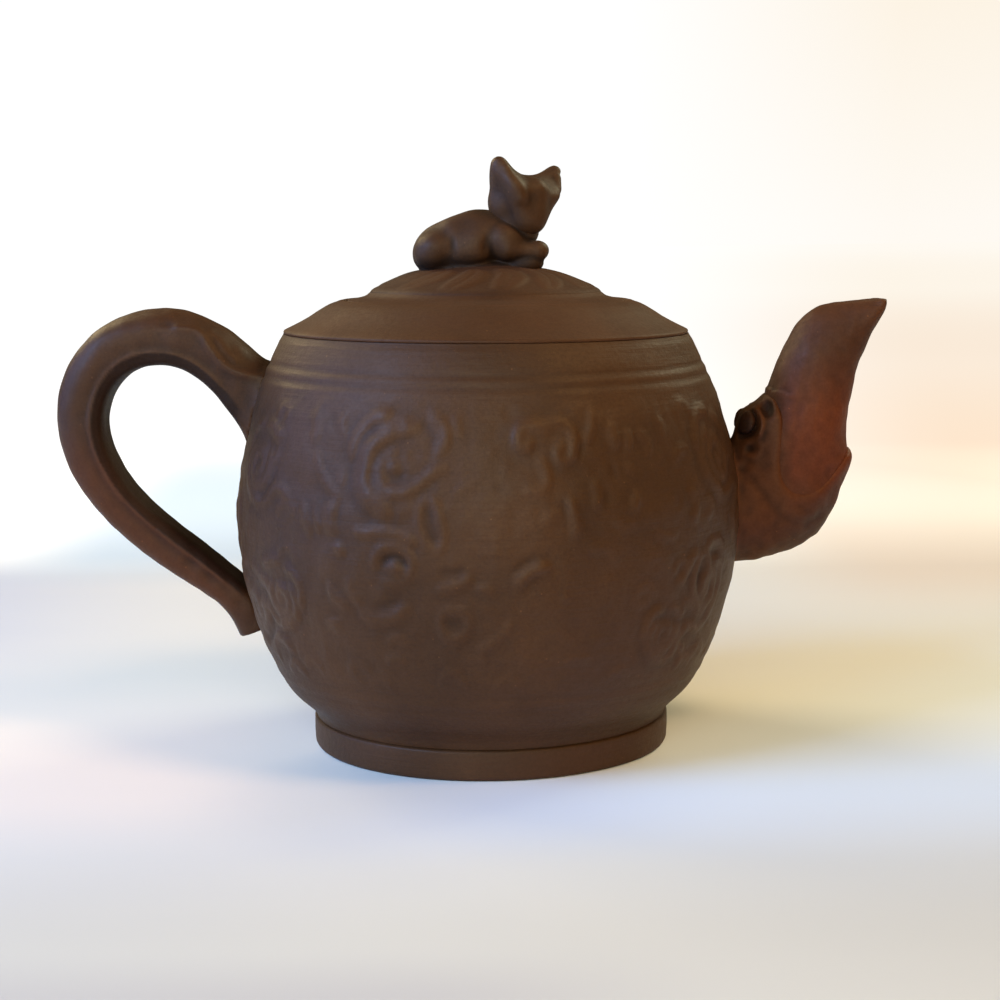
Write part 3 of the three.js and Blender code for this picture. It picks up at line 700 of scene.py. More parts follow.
def relief_map():
    """Height of the relief over (z, u), mm: raised lines, steep on one side, each in a soft trough, and pressed hollows."""
    up, trough, low, mass = (np.zeros((NZ, NU)) for _ in range(4))
    for pts, w, h in MASSES + [(p, 2.0 * w, 0.2 * h) for p, w, h in STROKES if h > 0.44 and abs(p[0][0]) > 46]:
        reach = int(2.4 * w / CELL) + 1
        off = np.arange(-reach, reach + 1)
        for u, z in curve(pts, 0.8):
            iu, iz = int(math.floor(u / CELL)), int(round((z - Z0) / CELL))
            jz = iz + off
            jz = jz[(jz >= 0) & (jz < NZ)]
            du = ((iu + off) * CELL - u)[None, :]
            dz = (Z0 + jz * CELL - z)[:, None]
            at = np.ix_(jz, (iu + off) % NU)
            mass[at] = np.maximum(mass[at], h * np.exp(-1.3 * ((du ** 2 + dz ** 2) / (w * w)) ** 1.2))
    reach = int(4.2 / CELL) + 1
    off = np.arange(-reach, reach + 1)
    for pts, w, h in STROKES:
        line = curve(pts, 0.3)
        n = len(line)
        taper = np.clip(np.minimum(np.arange(n), np.arange(n)[::-1]) * 0.3 / (1.6 * w), 0, 1) ** 0.6
        closed = np.hypot(*(line[0] - line[-1])) < 0.6
        along = np.gradient(line, axis=0)
        along /= np.hypot(*along.T)[:, None] + 1e-9
        for k, (u, z) in enumerate(line):
            f = 1.0 if closed else 0.45 + 0.55 * taper[k]
            ww, hh = w * (0.8 if closed else 0.55 + 0.45 * taper[k]) * 1.15, abs(h) * f
            iu, iz = int(math.floor(u / CELL)), int(round((z - Z0) / CELL))
            jz = iz + off
            jz = jz[(jz >= 0) & (jz < NZ)]
            ju = (iu + off) % NU
            du = ((iu + off) * CELL - u)[None, :]
            dz = (Z0 + jz * CELL - z)[:, None]
            wide = ww * (1.0 if h < 0 else 1.1 - 0.35 * np.tanh((along[k, 0] * dz - along[k, 1] * du) / ww))
            q = (du ** 2 + dz ** 2) / (wide * wide)
            bump = 0.95 * hh * np.exp(-0.9 * q ** 1.3)
            at = np.ix_(jz, ju)
            if h < 0:
                low[at] = np.maximum(low[at], bump)
            else:
                up[at] = np.maximum(up[at], bump)
                trough[at] = np.maximum(trough[at], 0.15 * hh * np.exp(-((np.sqrt(q) - 1.75) ** 2) / 0.16))
    return up + blur(mass, 2) - trough * np.clip(1 - up / 0.12, 0, 1) - low


RELIEF = blur(relief_map(), 1)
BROAD = blur(RELIEF, 8)


def sample(H, phi, z):
    u = (phi * GIRTH_R / CELL) % NU
    v = np.clip((z - Z0) / CELL, 0, NZ - 1.001)
    i, j = np.floor(v).astype(int), np.floor(u).astype(int)
    fv, fu = v - i, u - j
    j0, j1 = j % NU, (j + 1) % NU
    i1 = np.minimum(i + 1, NZ - 1)
    return ((1 - fv) * ((1 - fu) * H[i, j0] + fu * H[i, j1]) + fv * ((1 - fu) * H[i1, j0] + fu * H[i1, j1]))


def low_sides(P):
    """The relief is pressed lower under the spout and the handle."""
    u = np.abs((P + np.pi) % (2 * np.pi) - np.pi) * GIRTH_R
    return 1 - 0.78 * np.exp(-((u - 84) / 16) ** 2)


wobble = Waves(38, 3)
hand = Waves(9, 4)
pits = Waves(2.6, 5)


def rings(z):
    """Turned lines above and below the relief."""
    out = np.zeros_like(z)
    for c, w, h in ((84.3, 0.55, -0.19), (83.1, 0.5, 0.13), (81.8, 0.5, -0.18), (80.5, 0.45, 0.10), (88.9, 0.6, 0.10),
                    (19.6, 0.55, -0.11), (17.7, 0.7, 0.12), (16.2, 0.6, -0.10)):
        out += 0.68 * h * np.exp(-((z - c) / w) ** 2)
    return out


def wall_rows():
    z = [6.72]
    while z[-1] < 90.1:
        near = any(abs(z[-1] - c) < 1.5 for c in (84.3, 82.8, 81.4, 80.4, 19.6, 17.7, 16.3, 88.9))
        slope = 0.55 if z[-1] < 14 else 1.0
        z.append(z[-1] + (0.42 if near else 0.82) * slope * 1.0)
    z[-1] = 90.1
    return np.array(z)


def belly_wall():
    zo = wall_rows()
    ro = belly_r(zo)
    zi = np.array([90.37, 89.9, 84, 76, 66, 54, 42, 31, 22, 15, 10.6, 7.2, 6.8])
    ri = belly_r(zi) - 3.6
    ri[0] += 0.3
    ri[-1] += 0.5
    profile = np.concatenate([[[ro[0] - 0.5, 6.64]], np.column_stack([ro, zo]), [[ro[-1] - 0.14, 90.37]], np.column_stack([ri, zi])])
    edge = len(zo) + 1

    def push(P, R, Z, I):
        outer = (I >= 1) & (I < edge)
        x, y = R * np.sin(P), -R * np.cos(P)
        zone = smooth_step(Z, 19.0, 22.5) * (1 - smooth_step(Z, 77.5, 80.3))
        h = sample(RELIEF, P, Z) * zone * low_sides(P)
        h = h + rings(Z)
        h = h + 0.16 * wobble(x, y, Z * 1.4) * smooth_step(Z, 7, 14) * (1 - smooth_step(Z, 86, 90))
        h = h + (0.07 * hand(x, y, Z) + 0.035 * pits(x, y, Z)) * zone
        return np.where(outer, h, 0.0), np.zeros_like(R)

    def attr(P, R, Z, I):
        # painted highlight on the relief's ridges and the turned beads, painted shade in its hollows and grooves
        zone = smooth_step(Z, 19.0, 22.5) * (1 - smooth_step(Z, 77.5, 80.3))
        h = (sample(RELIEF, P, Z) - sample(BROAD, P, Z)) * zone * low_sides(P)
        c = 0.5 + 0.7 * h + 0.6 * rings(Z)
        outer = (I >= 1) & (I < edge)
        return np.where(outer, np.clip(c, 0, 1), 0.5)

    me = lathe("belly_wall_skin", profile, 640, True, push, attr)
    o = piece("belly_wall_skin", me, mats["clay_body"], "pot", ["belly_wall"], 50)
    # opening behind the spout
    bpy.ops.mesh.primitive_cylinder_add(vertices=48, radius=0.0086, depth=0.02, location=((52 + AXIS_X) * 0.001, 0, 0.053),
                                        rotation=(0, math.radians(90), 0))
    tool = bpy.context.object
    mod = o.modifiers.new("opening", "BOOLEAN")
    mod.object = tool
    mod.operation = "DIFFERENCE"
    mod.solver = "EXACT"
    dg = bpy.context.evaluated_depsgraph_get()
    made = bpy.data.meshes.new_from_object(o.evaluated_get(dg))
    o.modifiers.clear()
    o.data = made
    bpy.data.objects.remove(tool)
    return o


belly_wall()

# ---------------------------------------------------------------- foot, base, shoulder, seat
foot_w = Waves(30, 21)


def gentle(amount, waves):
    def push(P, R, Z, I):
        x, y = R * np.sin(P), -R * np.cos(P)
        h = amount * waves(x, y, Z)
        return np.where(R > 1, h, 0), np.zeros_like(R)
    return push


def arc(c, r, a0, a1, n):
    return [[c[0] + r * math.cos(math.radians(a)), c[1] + r * math.sin(math.radians(a))] for a in np.linspace(a0, a1, n)]


COLS = 320
foot = (arc((38.3, 1.05), 1.05, -90, 0, 7) + [[39.45, 3.4], [39.42, 5.0]] + arc((38.87, 5.95), 0.55, 5, 85, 6) + [[38.6, 6.64], [32.9, 6.62]]
        + [[32.9, 1.1]] + arc((33.7, 0.8), 0.8, 180, 270, 5))
piece("foot_ring_skin", lathe("foot_ring_skin", foot, COLS, True, gentle(0.06, foot_w)), mats["clay_body"], "pot", ["foot_ring"], 40)

base = [[0, 6.8], [20, 6.8], [34.4, 6.85], [35.2, 7.6], [36.9, 10.2], [20, 10.2], [0, 10.2]]
piece("base_disc_skin", lathe("base_disc_skin", base, COLS, False, gentle(0.05, foot_w)), mats["clay_inside"], "pot", ["base_disc"], 40)

shoulder = ([[40.9, 90.36], [43.7, 90.38]] + arc((43.80, 90.80), 0.42, -62, 50, 8) + [[43.55, 91.40], [42.6, 91.85], [40.65, 92.82], [38.7, 93.9],
            [36.85, 95.1], [35.0, 96.2], [34.0, 96.7], [33.3, 96.96], [32.6, 97.18], [32.0, 97.42]] + arc((31.2, 97.10), 0.48, 60, 180, 7)
            + [[30.7, 95.0], [30.6, 93.75]])
sh_w = Waves(26, 22)


def rim_painted_highlight(P, R, Z, I):
    """Painted highlight: the edge round the seat of the lid, and more weakly the lower rim of the shoulder, are made
    paler.
    """
    n = 0.75 + 0.25 * np.sin(P * 5 + 1.1) + 0.2 * np.sin(P * 11 + 0.3)
    return 0.5 + 0.42 * n * np.exp(-((R - 31.5) / 0.8) ** 2) * (Z > 96) + 0.2 * n * np.exp(-((R - 43.9) / 0.5) ** 2)


piece("shoulder_disc_skin", lathe("shoulder_disc_skin", shoulder, COLS, True, gentle(0.07, sh_w), rim_painted_highlight), mats["clay_lid"], "pot", ["shoulder_disc"], 40)

rim = [[27.35, 91.7], [30.1, 91.65], [30.15, 95.4]] + arc((29.8, 95.4), 0.4, 0, 90, 4) + arc((27.8, 95.35), 0.45, 90, 180, 5)
piece("mouth_rim_skin", lathe("mouth_rim_skin", rim, COLS, True, gentle(0.03, sh_w)), mats["clay_inside"], "pot", ["mouth_rim"], 40)

# ---------------------------------------------------------------- lid
lid_w = Waves(20, 23)
plate = ([[22.5, 96.12], [29.6, 96.12]] + arc((29.6, 96.5), 0.4, -80, 0, 4) + [[30.1, 96.9]] + arc((29.85, 97.2), 0.34, 0, 80, 5)
         + [[29.4, 97.64], [28.5, 97.86], [27.4, 98.1], [26.5, 98.36], [25.95, 98.66], [25.5, 99.03], [24.9, 99.5], [24.0, 98.9], [22.5, 98.2]])
piece("lid_plate_skin", lathe("lid_plate_skin", plate, COLS, True, gentle(0.04, lid_w)), mats["clay_lid"], "lid", ["lid_plate"], 40)

flange = [[24.8, 95.9], [24.8, 88.2]] + arc((25.2, 87.95), 0.4, 180, 270, 4) + arc((26.3, 87.95), 0.4, 270, 350, 4) + [[26.75, 90], [26.8, 95.9]]
piece("lid_flange_skin", lathe("lid_flange_skin", flange[::-1], COLS, True, gentle(0.03, lid_w)), mats["clay_inside"], "lid", ["lid_flange"], 40)

DOME = [[0, 105.0], [4, 104.92], [8, 104.65], [12, 104.15], [15.4, 103.5], [17.2, 103.0], [19.1, 102.3], [21.0, 101.5], [22.8, 100.75], [24.3, 100.1], [25.2, 99.3], [25.35, 98.45]]


def dome_leaves(P, R):
    """Low pressed leaves that radiate from under the knob."""
    n = 13
    a = (P * n / (2 * math.pi) + 0.22 * np.sin(R * 0.30)) % 1.0 - 0.5
    width = 0.46 * np.clip((R - 8.5) / 6.0, 0, 1) ** 0.6 * np.clip((25.0 - R) / 5.5, 0, 1) ** 0.45
    edge = (width - np.abs(a)) * 2 * math.pi * R / n
    body = 0.38 * smooth_step(edge, -0.3, 1.8)
    vein = -0.12 * np.exp(-((a * 2 * math.pi * R / n) / 0.6) ** 2) * smooth_step(edge, 0.3, 1.2)
    uneven = 0.75 + 0.25 * np.sin(P * 2 + 0.7) + 0.2 * np.sin(P * 3 + 2.0)
    return (body + vein) * uneven * smooth_step(R, 9.0, 13.0) * (1 - smooth_step(R, 22.6, 24.6))


def lid_dome():
    top = curve([[r, z] for r, z in DOME], 0.35)
    under = [[22.2, 98.45], [20.4, 99.4], [17.3, 100.8], [12.5, 102.0], [6.5, 102.8], [0, 103.0]]
    profile = np.concatenate([top, under])
    nt = len(top)

    def push(P, R, Z, I):
        x, y = R * np.sin(P), -R * np.cos(P)
        t = I < nt
        h = dome_leaves(P, R) + 0.06 * lid_w(x, y, Z)
        k = smooth_step(R, 23.0, 25.2)
        return np.where(t & (R > 1), 0.35 * k * 0.1 * lid_w(x, y, Z), 0), np.where(t & (R > 1), h * (1 - k), 0)

    def attr(P, R, Z, I):
        # painted highlight: the raised leaves are made paler and the dome between them a little darker
        return np.where(I < nt, np.clip(0.45 + 0.7 * (dome_leaves(P, R) - 0.10), 0, 1), 0.5)

    me = lathe("lid_dome_skin", profile, 480, False, push, attr)
    o = piece("lid_dome_skin", me, mats["clay_lid"], "lid", ["lid_dome"], 45)
    bpy.ops.mesh.primitive_cylinder_add(vertices=24, radius=0.0013, depth=0.02, location=(AXIS_X * 0.001, 0.0175, 0.1025))
    tool = bpy.context.object
    mod = o.modifiers.new("air_hole", "BOOLEAN")
    mod.object = tool
    mod.operation = "DIFFERENCE"
    mod.solver = "EXACT"
    dg = bpy.context.evaluated_depsgraph_get()
    made = bpy.data.meshes.new_from_object(o.evaluated_get(dg))
    o.modifiers.clear()
    o.data = made
    bpy.data.objects.remove(tool)


lid_dome()

# ---------------------------------------------------------------- strainer keeps its CAD shape
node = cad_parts["strainer_disc"]
node.data.materials.clear()
node.data.materials.append(mats["clay_inside"])

# ---------------------------------------------------------------- handle
H_OUT = [[-42.0, 79.0], [-46.4, 83.1], [-50.87, 86.5], [-52.89, 88.69], [-55.37, 90.84], [-58.67, 93.09], [-63.43, 95.14], [-67.32, 96.29], [-71.31, 96.4], [-75.05, 96.13],
         [-79.16, 95.27], [-83.61, 93.2], [-86.46, 90.8], [-89.23, 87.61], [-91.86, 83.62], [-93.34, 79.74], [-94.28, 76.11], [-94.54, 72.63], [-94.0, 68.41], [-93.02, 64.07],
         [-91.11, 59.56], [-88.32, 54.93], [-84.72, 50.46], [-80.06, 45.75], [-74.56, 41.02], [-68.11, 36.59], [-62.21, 32.85], [-59.31, 30.46], [-57.18, 27.45], [-56.12, 24.7], [-55.1, 22.5]]
H_IN = [[-45.0, 57.0], [-50.0, 64.5], [-53.33, 69.87], [-57.62, 75.7], [-61.71, 80.18], [-64.49, 82.5], [-67.66, 84.04], [-71.43, 84.69], [-75.06, 84.2], [-78.04, 82.87],
        [-80.86, 80.43], [-82.51, 77.4], [-83.56, 73.74], [-83.83, 70.62], [-83.2, 67.0], [-81.07, 61.86], [-77.88, 56.76], [-73.27, 51.99], [-67.9, 47.44], [-62.05, 42.75],
        [-58.24, 39.3], [-55.0, 36.6], [-51.9, 33.0], [-49.8, 29.0], [-49.0, 24.6], [-48.8, 22.5]]
hout, hin = curve(H_OUT, 0.8, 2.0), curve(H_IN, 0.8, 2.0)
hw1, hw2 = Waves(15, 31), Waves(5.0, 32)
RIDGE = curve([[-66.5, 92.6], [-61.6, 91.7], [-60.1, 89.2], [-57.8, 85.8], [-55.4, 83.6], [-51.0, 82.2], [-47.5, 81.8]], 0.5)
RIDGE2 = curve([[-59.4, 91.4], [-57.6, 89.8], [-56.0, 87.6], [-54.2, 85.2]], 0.5)


def smooth_max(a, b, k):
    return -join(-a, -b, k)


def handle_plane(PX, PZ):
    """Half depth of the loop's clay at a point of the XZ plane, and where it lies: -1 inner edge, +1 outer edge."""
    do, so = line_distance(PX, PZ, hout)
    di, si = line_distance(PX, PZ, hin)
    do, di = do * so, -di * si
    a = np.maximum(0.5 * (do + di), 1.0)
    return a, (di - do) / (2 * a)


def handle_shape(x, y, z):
    PX, PZ = (v.astype(float) for v in np.broadcast_arrays(x[:, 0, :], z[0, 0, :][None, :]))
    a, u = handle_plane(PX, PZ)
    half = 6.4 + 0.9 * smooth_step(PZ, 40, 95) + 0.9 * smooth_step(PX, -66, -50) * smooth_step(PZ, 60, 80) - 1.2 * (1 - smooth_step(PZ, 23, 34))
    p = 2.35 + 2.6 * smooth_step(-u, 0.05, 0.85)
    w = np.sqrt(x * x + y * y) - np.asarray(belly_r(np.clip(z, 7, 90)))
    u3, a3, h3, p3 = (v[:, None, :] for v in (u, a, half, p))
    q = (np.abs(u3) ** p3 + (np.abs(y) / h3) ** p3) ** (1 / p3)
    f = (q - 1) * np.minimum(a3, h3)
    side = smooth_step(np.abs(y), 2.0, 4.5)
    # thumb-drawn ridge beside the flat inner face
    f = f - 0.30 * np.exp(-((u3 + 0.55) / 0.11) ** 2) * smooth_step(np.abs(y), 3.0, 5.5) * smooth_step(-x, 55, 60)
    dr, sr = line_distance(PX, PZ, RIDGE)
    d2, _ = line_distance(PX, PZ, RIDGE2)
    f = f - (0.42 * np.exp(-(dr / 0.9) ** 2) + 0.22 * np.exp(-(d2 / 0.8) ** 2))[:, None, :] * side
    f = f + (0.24 * np.exp(-((dr - 2.4) / 2.0) ** 2) * (sr > 0))[:, None, :] * side
    f = f - (0.05 + 0.08 * smooth_step(z, 55, 85)) * hw1(x, y * 1.2, z) - 0.03 * hw2(x, y, z)
    # luted to the wall with a small fillet at the top joint
    f = f - 0.7 * np.exp(-np.maximum(w, 0) / 1.2) * smooth_step(z, 34, 40)
    # flat blunt end of the tail
    f = smooth_max(f, 24.0 + 0.37 * (x + 54.3) - z, 0.5)
    return np.maximum(f, -(w + 0.25))


def handle_shade(x, y, z):
    """Painted shade: the face inside the loop, which gets little light, is darkened."""
    a, u = handle_plane(x, z)
    return -1.0 * smooth_step(-u, 0.48, 0.66) * smooth_step(-x, 52, 57)


VOX = 0.5
piece("handle_skin", nets("handle_skin", handle_shape, (-97.5, -11, 20), (-42, 11, 99.5), VOX, 1, handle_shade), mats["clay_handle"], "pot",
      ["handle", "handle_tail"], 60)

# ---------------------------------------------------------------- spout
T_LEFT = [[84.69, 96.9], [81.76, 96.8], [77.89, 96.4], [74.65, 95.73], [72.07, 94.96], [70.6, 93.99], [68.44, 91.94], [66.6, 88.71], [65.28, 86.31], [64.29, 84.22], [62.99, 81.16],
          [61.89, 78.0], [61.0, 74.5], [60.3, 70.5], [59.7, 66.0], [58.8, 60.0], [57.0, 54.0]]
T_RIGHT = [[87.4, 99.2], [87.55, 97.4], [87.5, 95.9], [86.95, 94.3], [86.1, 92.3], [83.78, 88.4], [82.21, 84.03], [80.85, 79.64], [80.0, 75.23], [79.21, 70.74], [78.6, 66.4], [78.0, 62.0],
           [76.9, 57.1], [74.5, 51.0]]
HD_LEFT = [[63.16, 79.4], [62.0, 77.5], [61.3, 76.2], [59.82, 74.97], [57.8, 73.87], [56.4, 72.98], [55.7, 71.43], [54.74, 68.82], [54.0, 66.4], [52.0, 63.0], [49.0, 60.0]]
HD_RIGHT = [[77.6, 71.0], [78.2, 67.6], [79.3, 64.6], [80.3, 62.8], [80.1, 60.36], [78.44, 56.3], [76.8, 51.9], [74.17, 47.39], [71.67, 44.42], [69.29, 42.63], [66.0, 41.36],
            [62.2, 40.43], [56.0, 39.5], [50.0, 39.0], [44.0, 39.0]]
MOUTH = [[56.0, 78.2], [60.0, 77.7], [61.9, 76.6], [62.7, 74.9], [63.6, 72.0], [63.7, 68.3], [63.4, 61.8], [64.1, 57.6], [66.0, 55.6], [68.8, 55.1], [72.2, 56.6], [75.0, 59.2],
         [77.2, 61.5], [78.6, 63.6], [79.9, 66.4]]
tl, tr, mouth = curve(T_LEFT, 0.6, 1.2), curve(T_RIGHT, 0.6, 1.2), curve(MOUTH, 0.6, 0.6)
hl, hr = curve(HD_LEFT, 0.6, 0.6), curve(HD_RIGHT, 0.6, 0.9)
sw1, sw2 = Waves(9.0, 41), Waves(3.0, 42)
BROW = curve([[56.2, 74.9], [57.6, 73.9], [58.8, 72.3], [59.2, 70.2], [58.7, 68.2]], 0.4)
CURL = curve([[56.4, 66.6], [57.9, 66.9], [59.1, 66.0], [59.3, 64.6], [58.4, 63.3], [57.0, 63.2]], 0.4)
CHEEK = curve([[55.5, 60.5], [59.0, 56.5], [62.0, 52.0], [67.0, 49.0], [72.0, 50.0], [75.5, 53.4]], 0.6)


def plane(x, z):
    return tuple(v.astype(float) for v in np.broadcast_arrays(x[:, 0, :], z[0, 0, :][None, :]))


def swept(PX, PZ, left, right, y, half, power):
    """Rounded body between two outlines of the XZ plane."""
    dl, sl = line_distance(PX, PZ, left)
    dr, sr = line_distance(PX, PZ, right)
    dl, dr = dl * sl, -dr * sr
    a = np.maximum(0.5 * (dl + dr), 0.8)
    u = np.clip((dl - dr) / (2 * a), -1.8, 1.8)
    u3, a3, h3 = u[:, None, :], a[:, None, :], half[:, None, :]
    q = (np.abs(u3) ** power + (np.abs(y) / h3) ** power) ** (1 / power)
    return (q - 1) * np.minimum(a3, h3)


def spout_parts(x, y, z):
    PX, PZ = plane(x, z)
    tube = swept(PX, PZ, tl, tr, y, 9.4 - 1.4 * smooth_step(PZ, 66, 84) - 2.8 * smooth_step(PZ, 84, 97.5), 2.15)
    head = swept(PX, PZ, hl, hr, y, 12.1 - 2.3 * smooth_step(PZ, 48, 64), 2.25)
    dm, sm = line_distance(PX, PZ, mouth)
    w = np.sqrt(x * x + y * y) - np.asarray(belly_r(np.clip(z, 7, 90)))
    # the way the tea runs: wide behind the wall, narrowing up the tube
    core = np.minimum(tube + 1.9 + 0.4 * smooth_step(z, 88, 96), np.maximum(head + 3.4, z - 60.0))
    core = np.maximum(core, 47.5 - z)
    return PX, PZ, tube, head, dm, sm, w, core


def spout_tube(x, y, z):
    PX, PZ, tube, head, dm, sm, w, core = spout_parts(x, y, z)
    low = smooth_max(head + 0.85, 0.5 * (z - 71.0), 3.0)
    f = join(tube, low, 2.6)
    # edge of the collar where the tube leaves the head
    dc, sc = line_distance(PX, PZ, curve([[59.0, 77.9], [63.2, 77.1], [68.5, 76.5], [73.0, 76.6]], 0.5))
    f = f - (0.26 * (sc < 0) * np.exp(-dc / 1.6) * (1 - smooth_step(PX, 62, 70)))[:, None, :]
    f = f - 0.10 * sw1(x, y, z) - 0.03 * sw2(x, y, z)
    f = smooth_max(f, z - (96.6 + 0.03 * (x - 80)), 0.6)
    gap = (dm * sm)[:, None, :]
    f = np.maximum(f, np.where(z < 78.5, -gap - 2.2, -50))
    f = cut(f, core, 0.35)
    return np.maximum(f, -(w - 4.0))


def spout_head(x, y, z):
    PX, PZ, tube, head, dm, sm, w, core = spout_parts(x, y, z)
    gap = (dm * sm)[:, None, :]
    f = head - 0.6 * np.exp(-np.maximum(w, 0) / 0.8)
    s = smooth_step(np.abs(y), 2.5, 5.5)

    def press(amount, d, width, where=1.0):
        return (amount * np.exp(-(d / width) ** 2) * where)[:, None, :]

    # rolled lip round the open mouth
    f = f - press(0.08, dm - 1.6, 1.3, sm < 0) + press(0.05, dm - 3.8, 1.3, sm < 0)
    # knob of the nose, brow, eye hollow, cheek curl and fold
    d = np.hypot((PX - 55.7) / 0.84, PZ - 70.7)
    f = f - (1.5 * np.sqrt(np.clip(1 - (d / 2.9) ** 2, 0, 1)))[:, None, :] * s + press(1.3, d - 3.5, 0.6, PX > 55.0) * s
    db, _ = line_distance(PX, PZ, BROW)
    f = f - press(1.0, db, 0.75) * s
    d = np.hypot((PX - 60.9) * 1.5, PZ - 73.6)
    f = f + press(1.6, np.maximum(d - 0.9, 0), 0.85) * s
    dk, _ = line_distance(PX, PZ, CURL)
    f = f - press(0.20, dk, 0.6) * s
    f = f + press(0.42, np.hypot(PX - 57.2, PZ - 64.8), 0.8) * s
    df, _ = line_distance(PX, PZ, CHEEK)
    f = f + press(0.22, df, 1.2) * s
    f = f - 0.12 * sw1(x, y, z) - 0.04 * sw2(x, y, z)
    # nothing of the head beyond the mouth line
    f = smooth_max(f, gap - 0.35, 1.8)
    f = cut(f, np.minimum(core, 99.0), 0.3)
    return np.maximum(f, -(w + 0.25))


def spout_shade(x, y, z):
    """Painted shade: the nose knob and the eye hollow of the head, which lie in shade, are darkened."""
    d = np.hypot((x - 55.6) / 0.84, z - 70.4)
    e = np.hypot((x - 60.9) * 1.3, z - 73.6)
    side = smooth_step(np.abs(y), 3.0, 5.5)
    return -0.95 * side * np.maximum((1 - smooth_step(d, 2.3, 3.8)), 0.6 * (1 - smooth_step(e, 1.2, 2.6)))


VS = 0.42
piece("spout_tube_skin", nets("spout_tube_skin", spout_tube, (54, -12, 42), (90, 12, 99), VS, 1), mats["clay_spout"], "pot",
      ["spout_tube"], 60)
piece("spout_head_skin", nets("spout_head_skin", spout_head, (50, -15, 36.5), (83.5, 15, 80), VS, 1, spout_shade), mats["clay_spout"], "pot",
      ["spout_head", "spout_lower_lip", "spout_eye_near", "spout_eye_far", "spout_ear_near", "spout_ear_far", "spout_curl_near", "spout_curl_far"], 60)

# ---------------------------------------------------------------- knob: a lying animal with big ears
kw = Waves(6.0, 51)


def knob_body(x, y, z):
    ay = np.abs(y)
    f = egg(x, y, z, (-3.7, 0.1, 109.5), (12.4, 7.1, 6.8), (0, -15, 0))
    f = join(f, egg(x, y, z, (7.2, -0.1, 113.0), (4.9, 4.7, 4.6), (0, 30, 0)), 1.6)              # chest
    f = join(f, egg(x, ay, z, (-10.4, 2.8, 108.4), (5.2, 4.2, 4.5), (0, -14, 0)), 0.7)          # haunches
    f = join(f, egg(x, ay, z, (-3.3, 3.9, 108.7), (5.4, 3.6, 4.4), (0, -10, 0)), 0.5)           # folded hind legs
    f = join(f, egg(x, ay, z, (4.2, 3.8, 109.8), (5.0, 3.2, 3.9), (0, 25, 0)), 0.5)             # shoulders
    f = join(f, egg(x, ay, z, (8.6, 2.6, 105.4), (4.2, 3.4, 2.4)), 0.8)                         # under the paws
    f = join(f, limb(x, ay, z, (5.0, 4.9, 108.3), (10.8, 3.6, 108.0), 2.1, 1.8), 0.8)           # forelegs
    f = join(f, egg(x, ay, z, (11.5, 3.0, 108.0), (2.3, 2.3, 2.25)), 0.6)                        # paws
    f = cut(f, limb(x, ay, z, (0.6, 7.2, 113.2), (0.2, 7.6, 106.4), 0.55, 0.8), 0.7)
    f = cut(f, limb(x, ay, z, (-7.4, 6.9, 112.6), (-6.8, 7.6, 107.4), 0.5, 0.7), 0.7)
    f = cut(f, limb(x, ay, z, (3.4, 6.0, 116.6), (9.5, 5.4, 112.4), 0.7, 0.9), 1.0)
    # narrower where it stands on the lid
    pad = egg(x, y, z, (-0.9, 0.1, 103.6), (13.4, 7.0, 3.0))
    f = join(f, pad, 0.7)
    f = f - 0.12 * kw(x, y, z)
    dome = z - (105.0 - 0.0062 * (x * x + y * y)) + 0.25
    return np.maximum(f, -dome)


FACE = [[0, -8.0], [2.2, -7.4], [4.2, -5.0], [6.1, -1.6], [7.7, 1.6], [8.9, 4.2], [9.2, 6.2], [8.6, 7.5], [7.3, 7.9], [5.6, 7.0], [3.7, 5.9], [1.8, 5.3], [0, 5.15]]
WIDE_EAR = [[0, -8.0], [2.2, -7.4], [4.2, -5.0], [6.1, -1.6], [7.8, 1.6], [9.3, 4.2], [10.3, 6.2], [10.5, 7.7], [9.4, 8.5], [7.2, 7.6], [4.6, 6.2], [2.0, 5.35], [0, 5.15]]
FACE = curve(WIDE_EAR + [[-a, b] for a, b in FACE[-2::-1]], 0.9, 0.3)


def knob_head(x, y, z):
    # the face looks to the right and to the near side, and leans over a little
    px, py, pz = turn(x, y, z, (9.0, -1.0, 119.5), (-8, 0, -47))
    d = np.full(px.shape, 1e9)
    inside = np.zeros(px.shape, bool)
    for (ax, az), (bx, bz) in zip(FACE, np.roll(FACE, -1, 0)):
        dx, dz = bx - ax, bz - az
        t = np.clip(((py - ax) * dx + (pz - az) * dz) / (dx * dx + dz * dz + 1e-9), 0, 1)
        d = np.minimum(d, (py - ax - t * dx) ** 2 + (pz - az - t * dz) ** 2)
        hit = ((az > pz) != (bz > pz)) & (py < (bx - ax) * (pz - az) / (bz - az + 1e-12) + ax)
        inside ^= hit
    flat = np.where(inside, -1, 1) * np.sqrt(d)
    up = smooth_step(pz, 0.5, 6.0)
    down = smooth_step(-pz, 1.0, 7.0)
    mid = -0.4 - 0.9 * up + 1.7 * down
    deep = 4.6 - 2.3 * up - 1.4 * down
    f = smooth_max(flat, np.abs(px - mid) - deep, 2.9)
    f = join(f, limb(px, py, pz, (2.8, 0.0, 1.6), (3.2, 0.0, -4.4), 2.3, 1.7), 2.4)
    # the near ear has a pinched front edge that runs down to the cheek
    f = join(f, limb(px, py, pz, (0.9, -7.2, 5.2), (3.2, -4.5, -0.6), 0.55, 1.0), 1.5)
    # the far ear's outer edge runs straight up to its tip
    f = join(f, limb(px, py, pz, (1.2, 7.6, 3.0), (0.4, 8.3, 5.4), 1.0, 1.0), 0.8)
    f = join(f, egg(x, y, z, (4.5, -0.4, 118.0), (3.6, 4.6, 4.4)), 1.4)
    f = join(f, limb(x, y, z, (5.6, -0.4, 112.8), (6.8, -0.8, 116.2), 4.2, 3.8), 1.2)
    return f - 0.08 * kw(x, y, z)


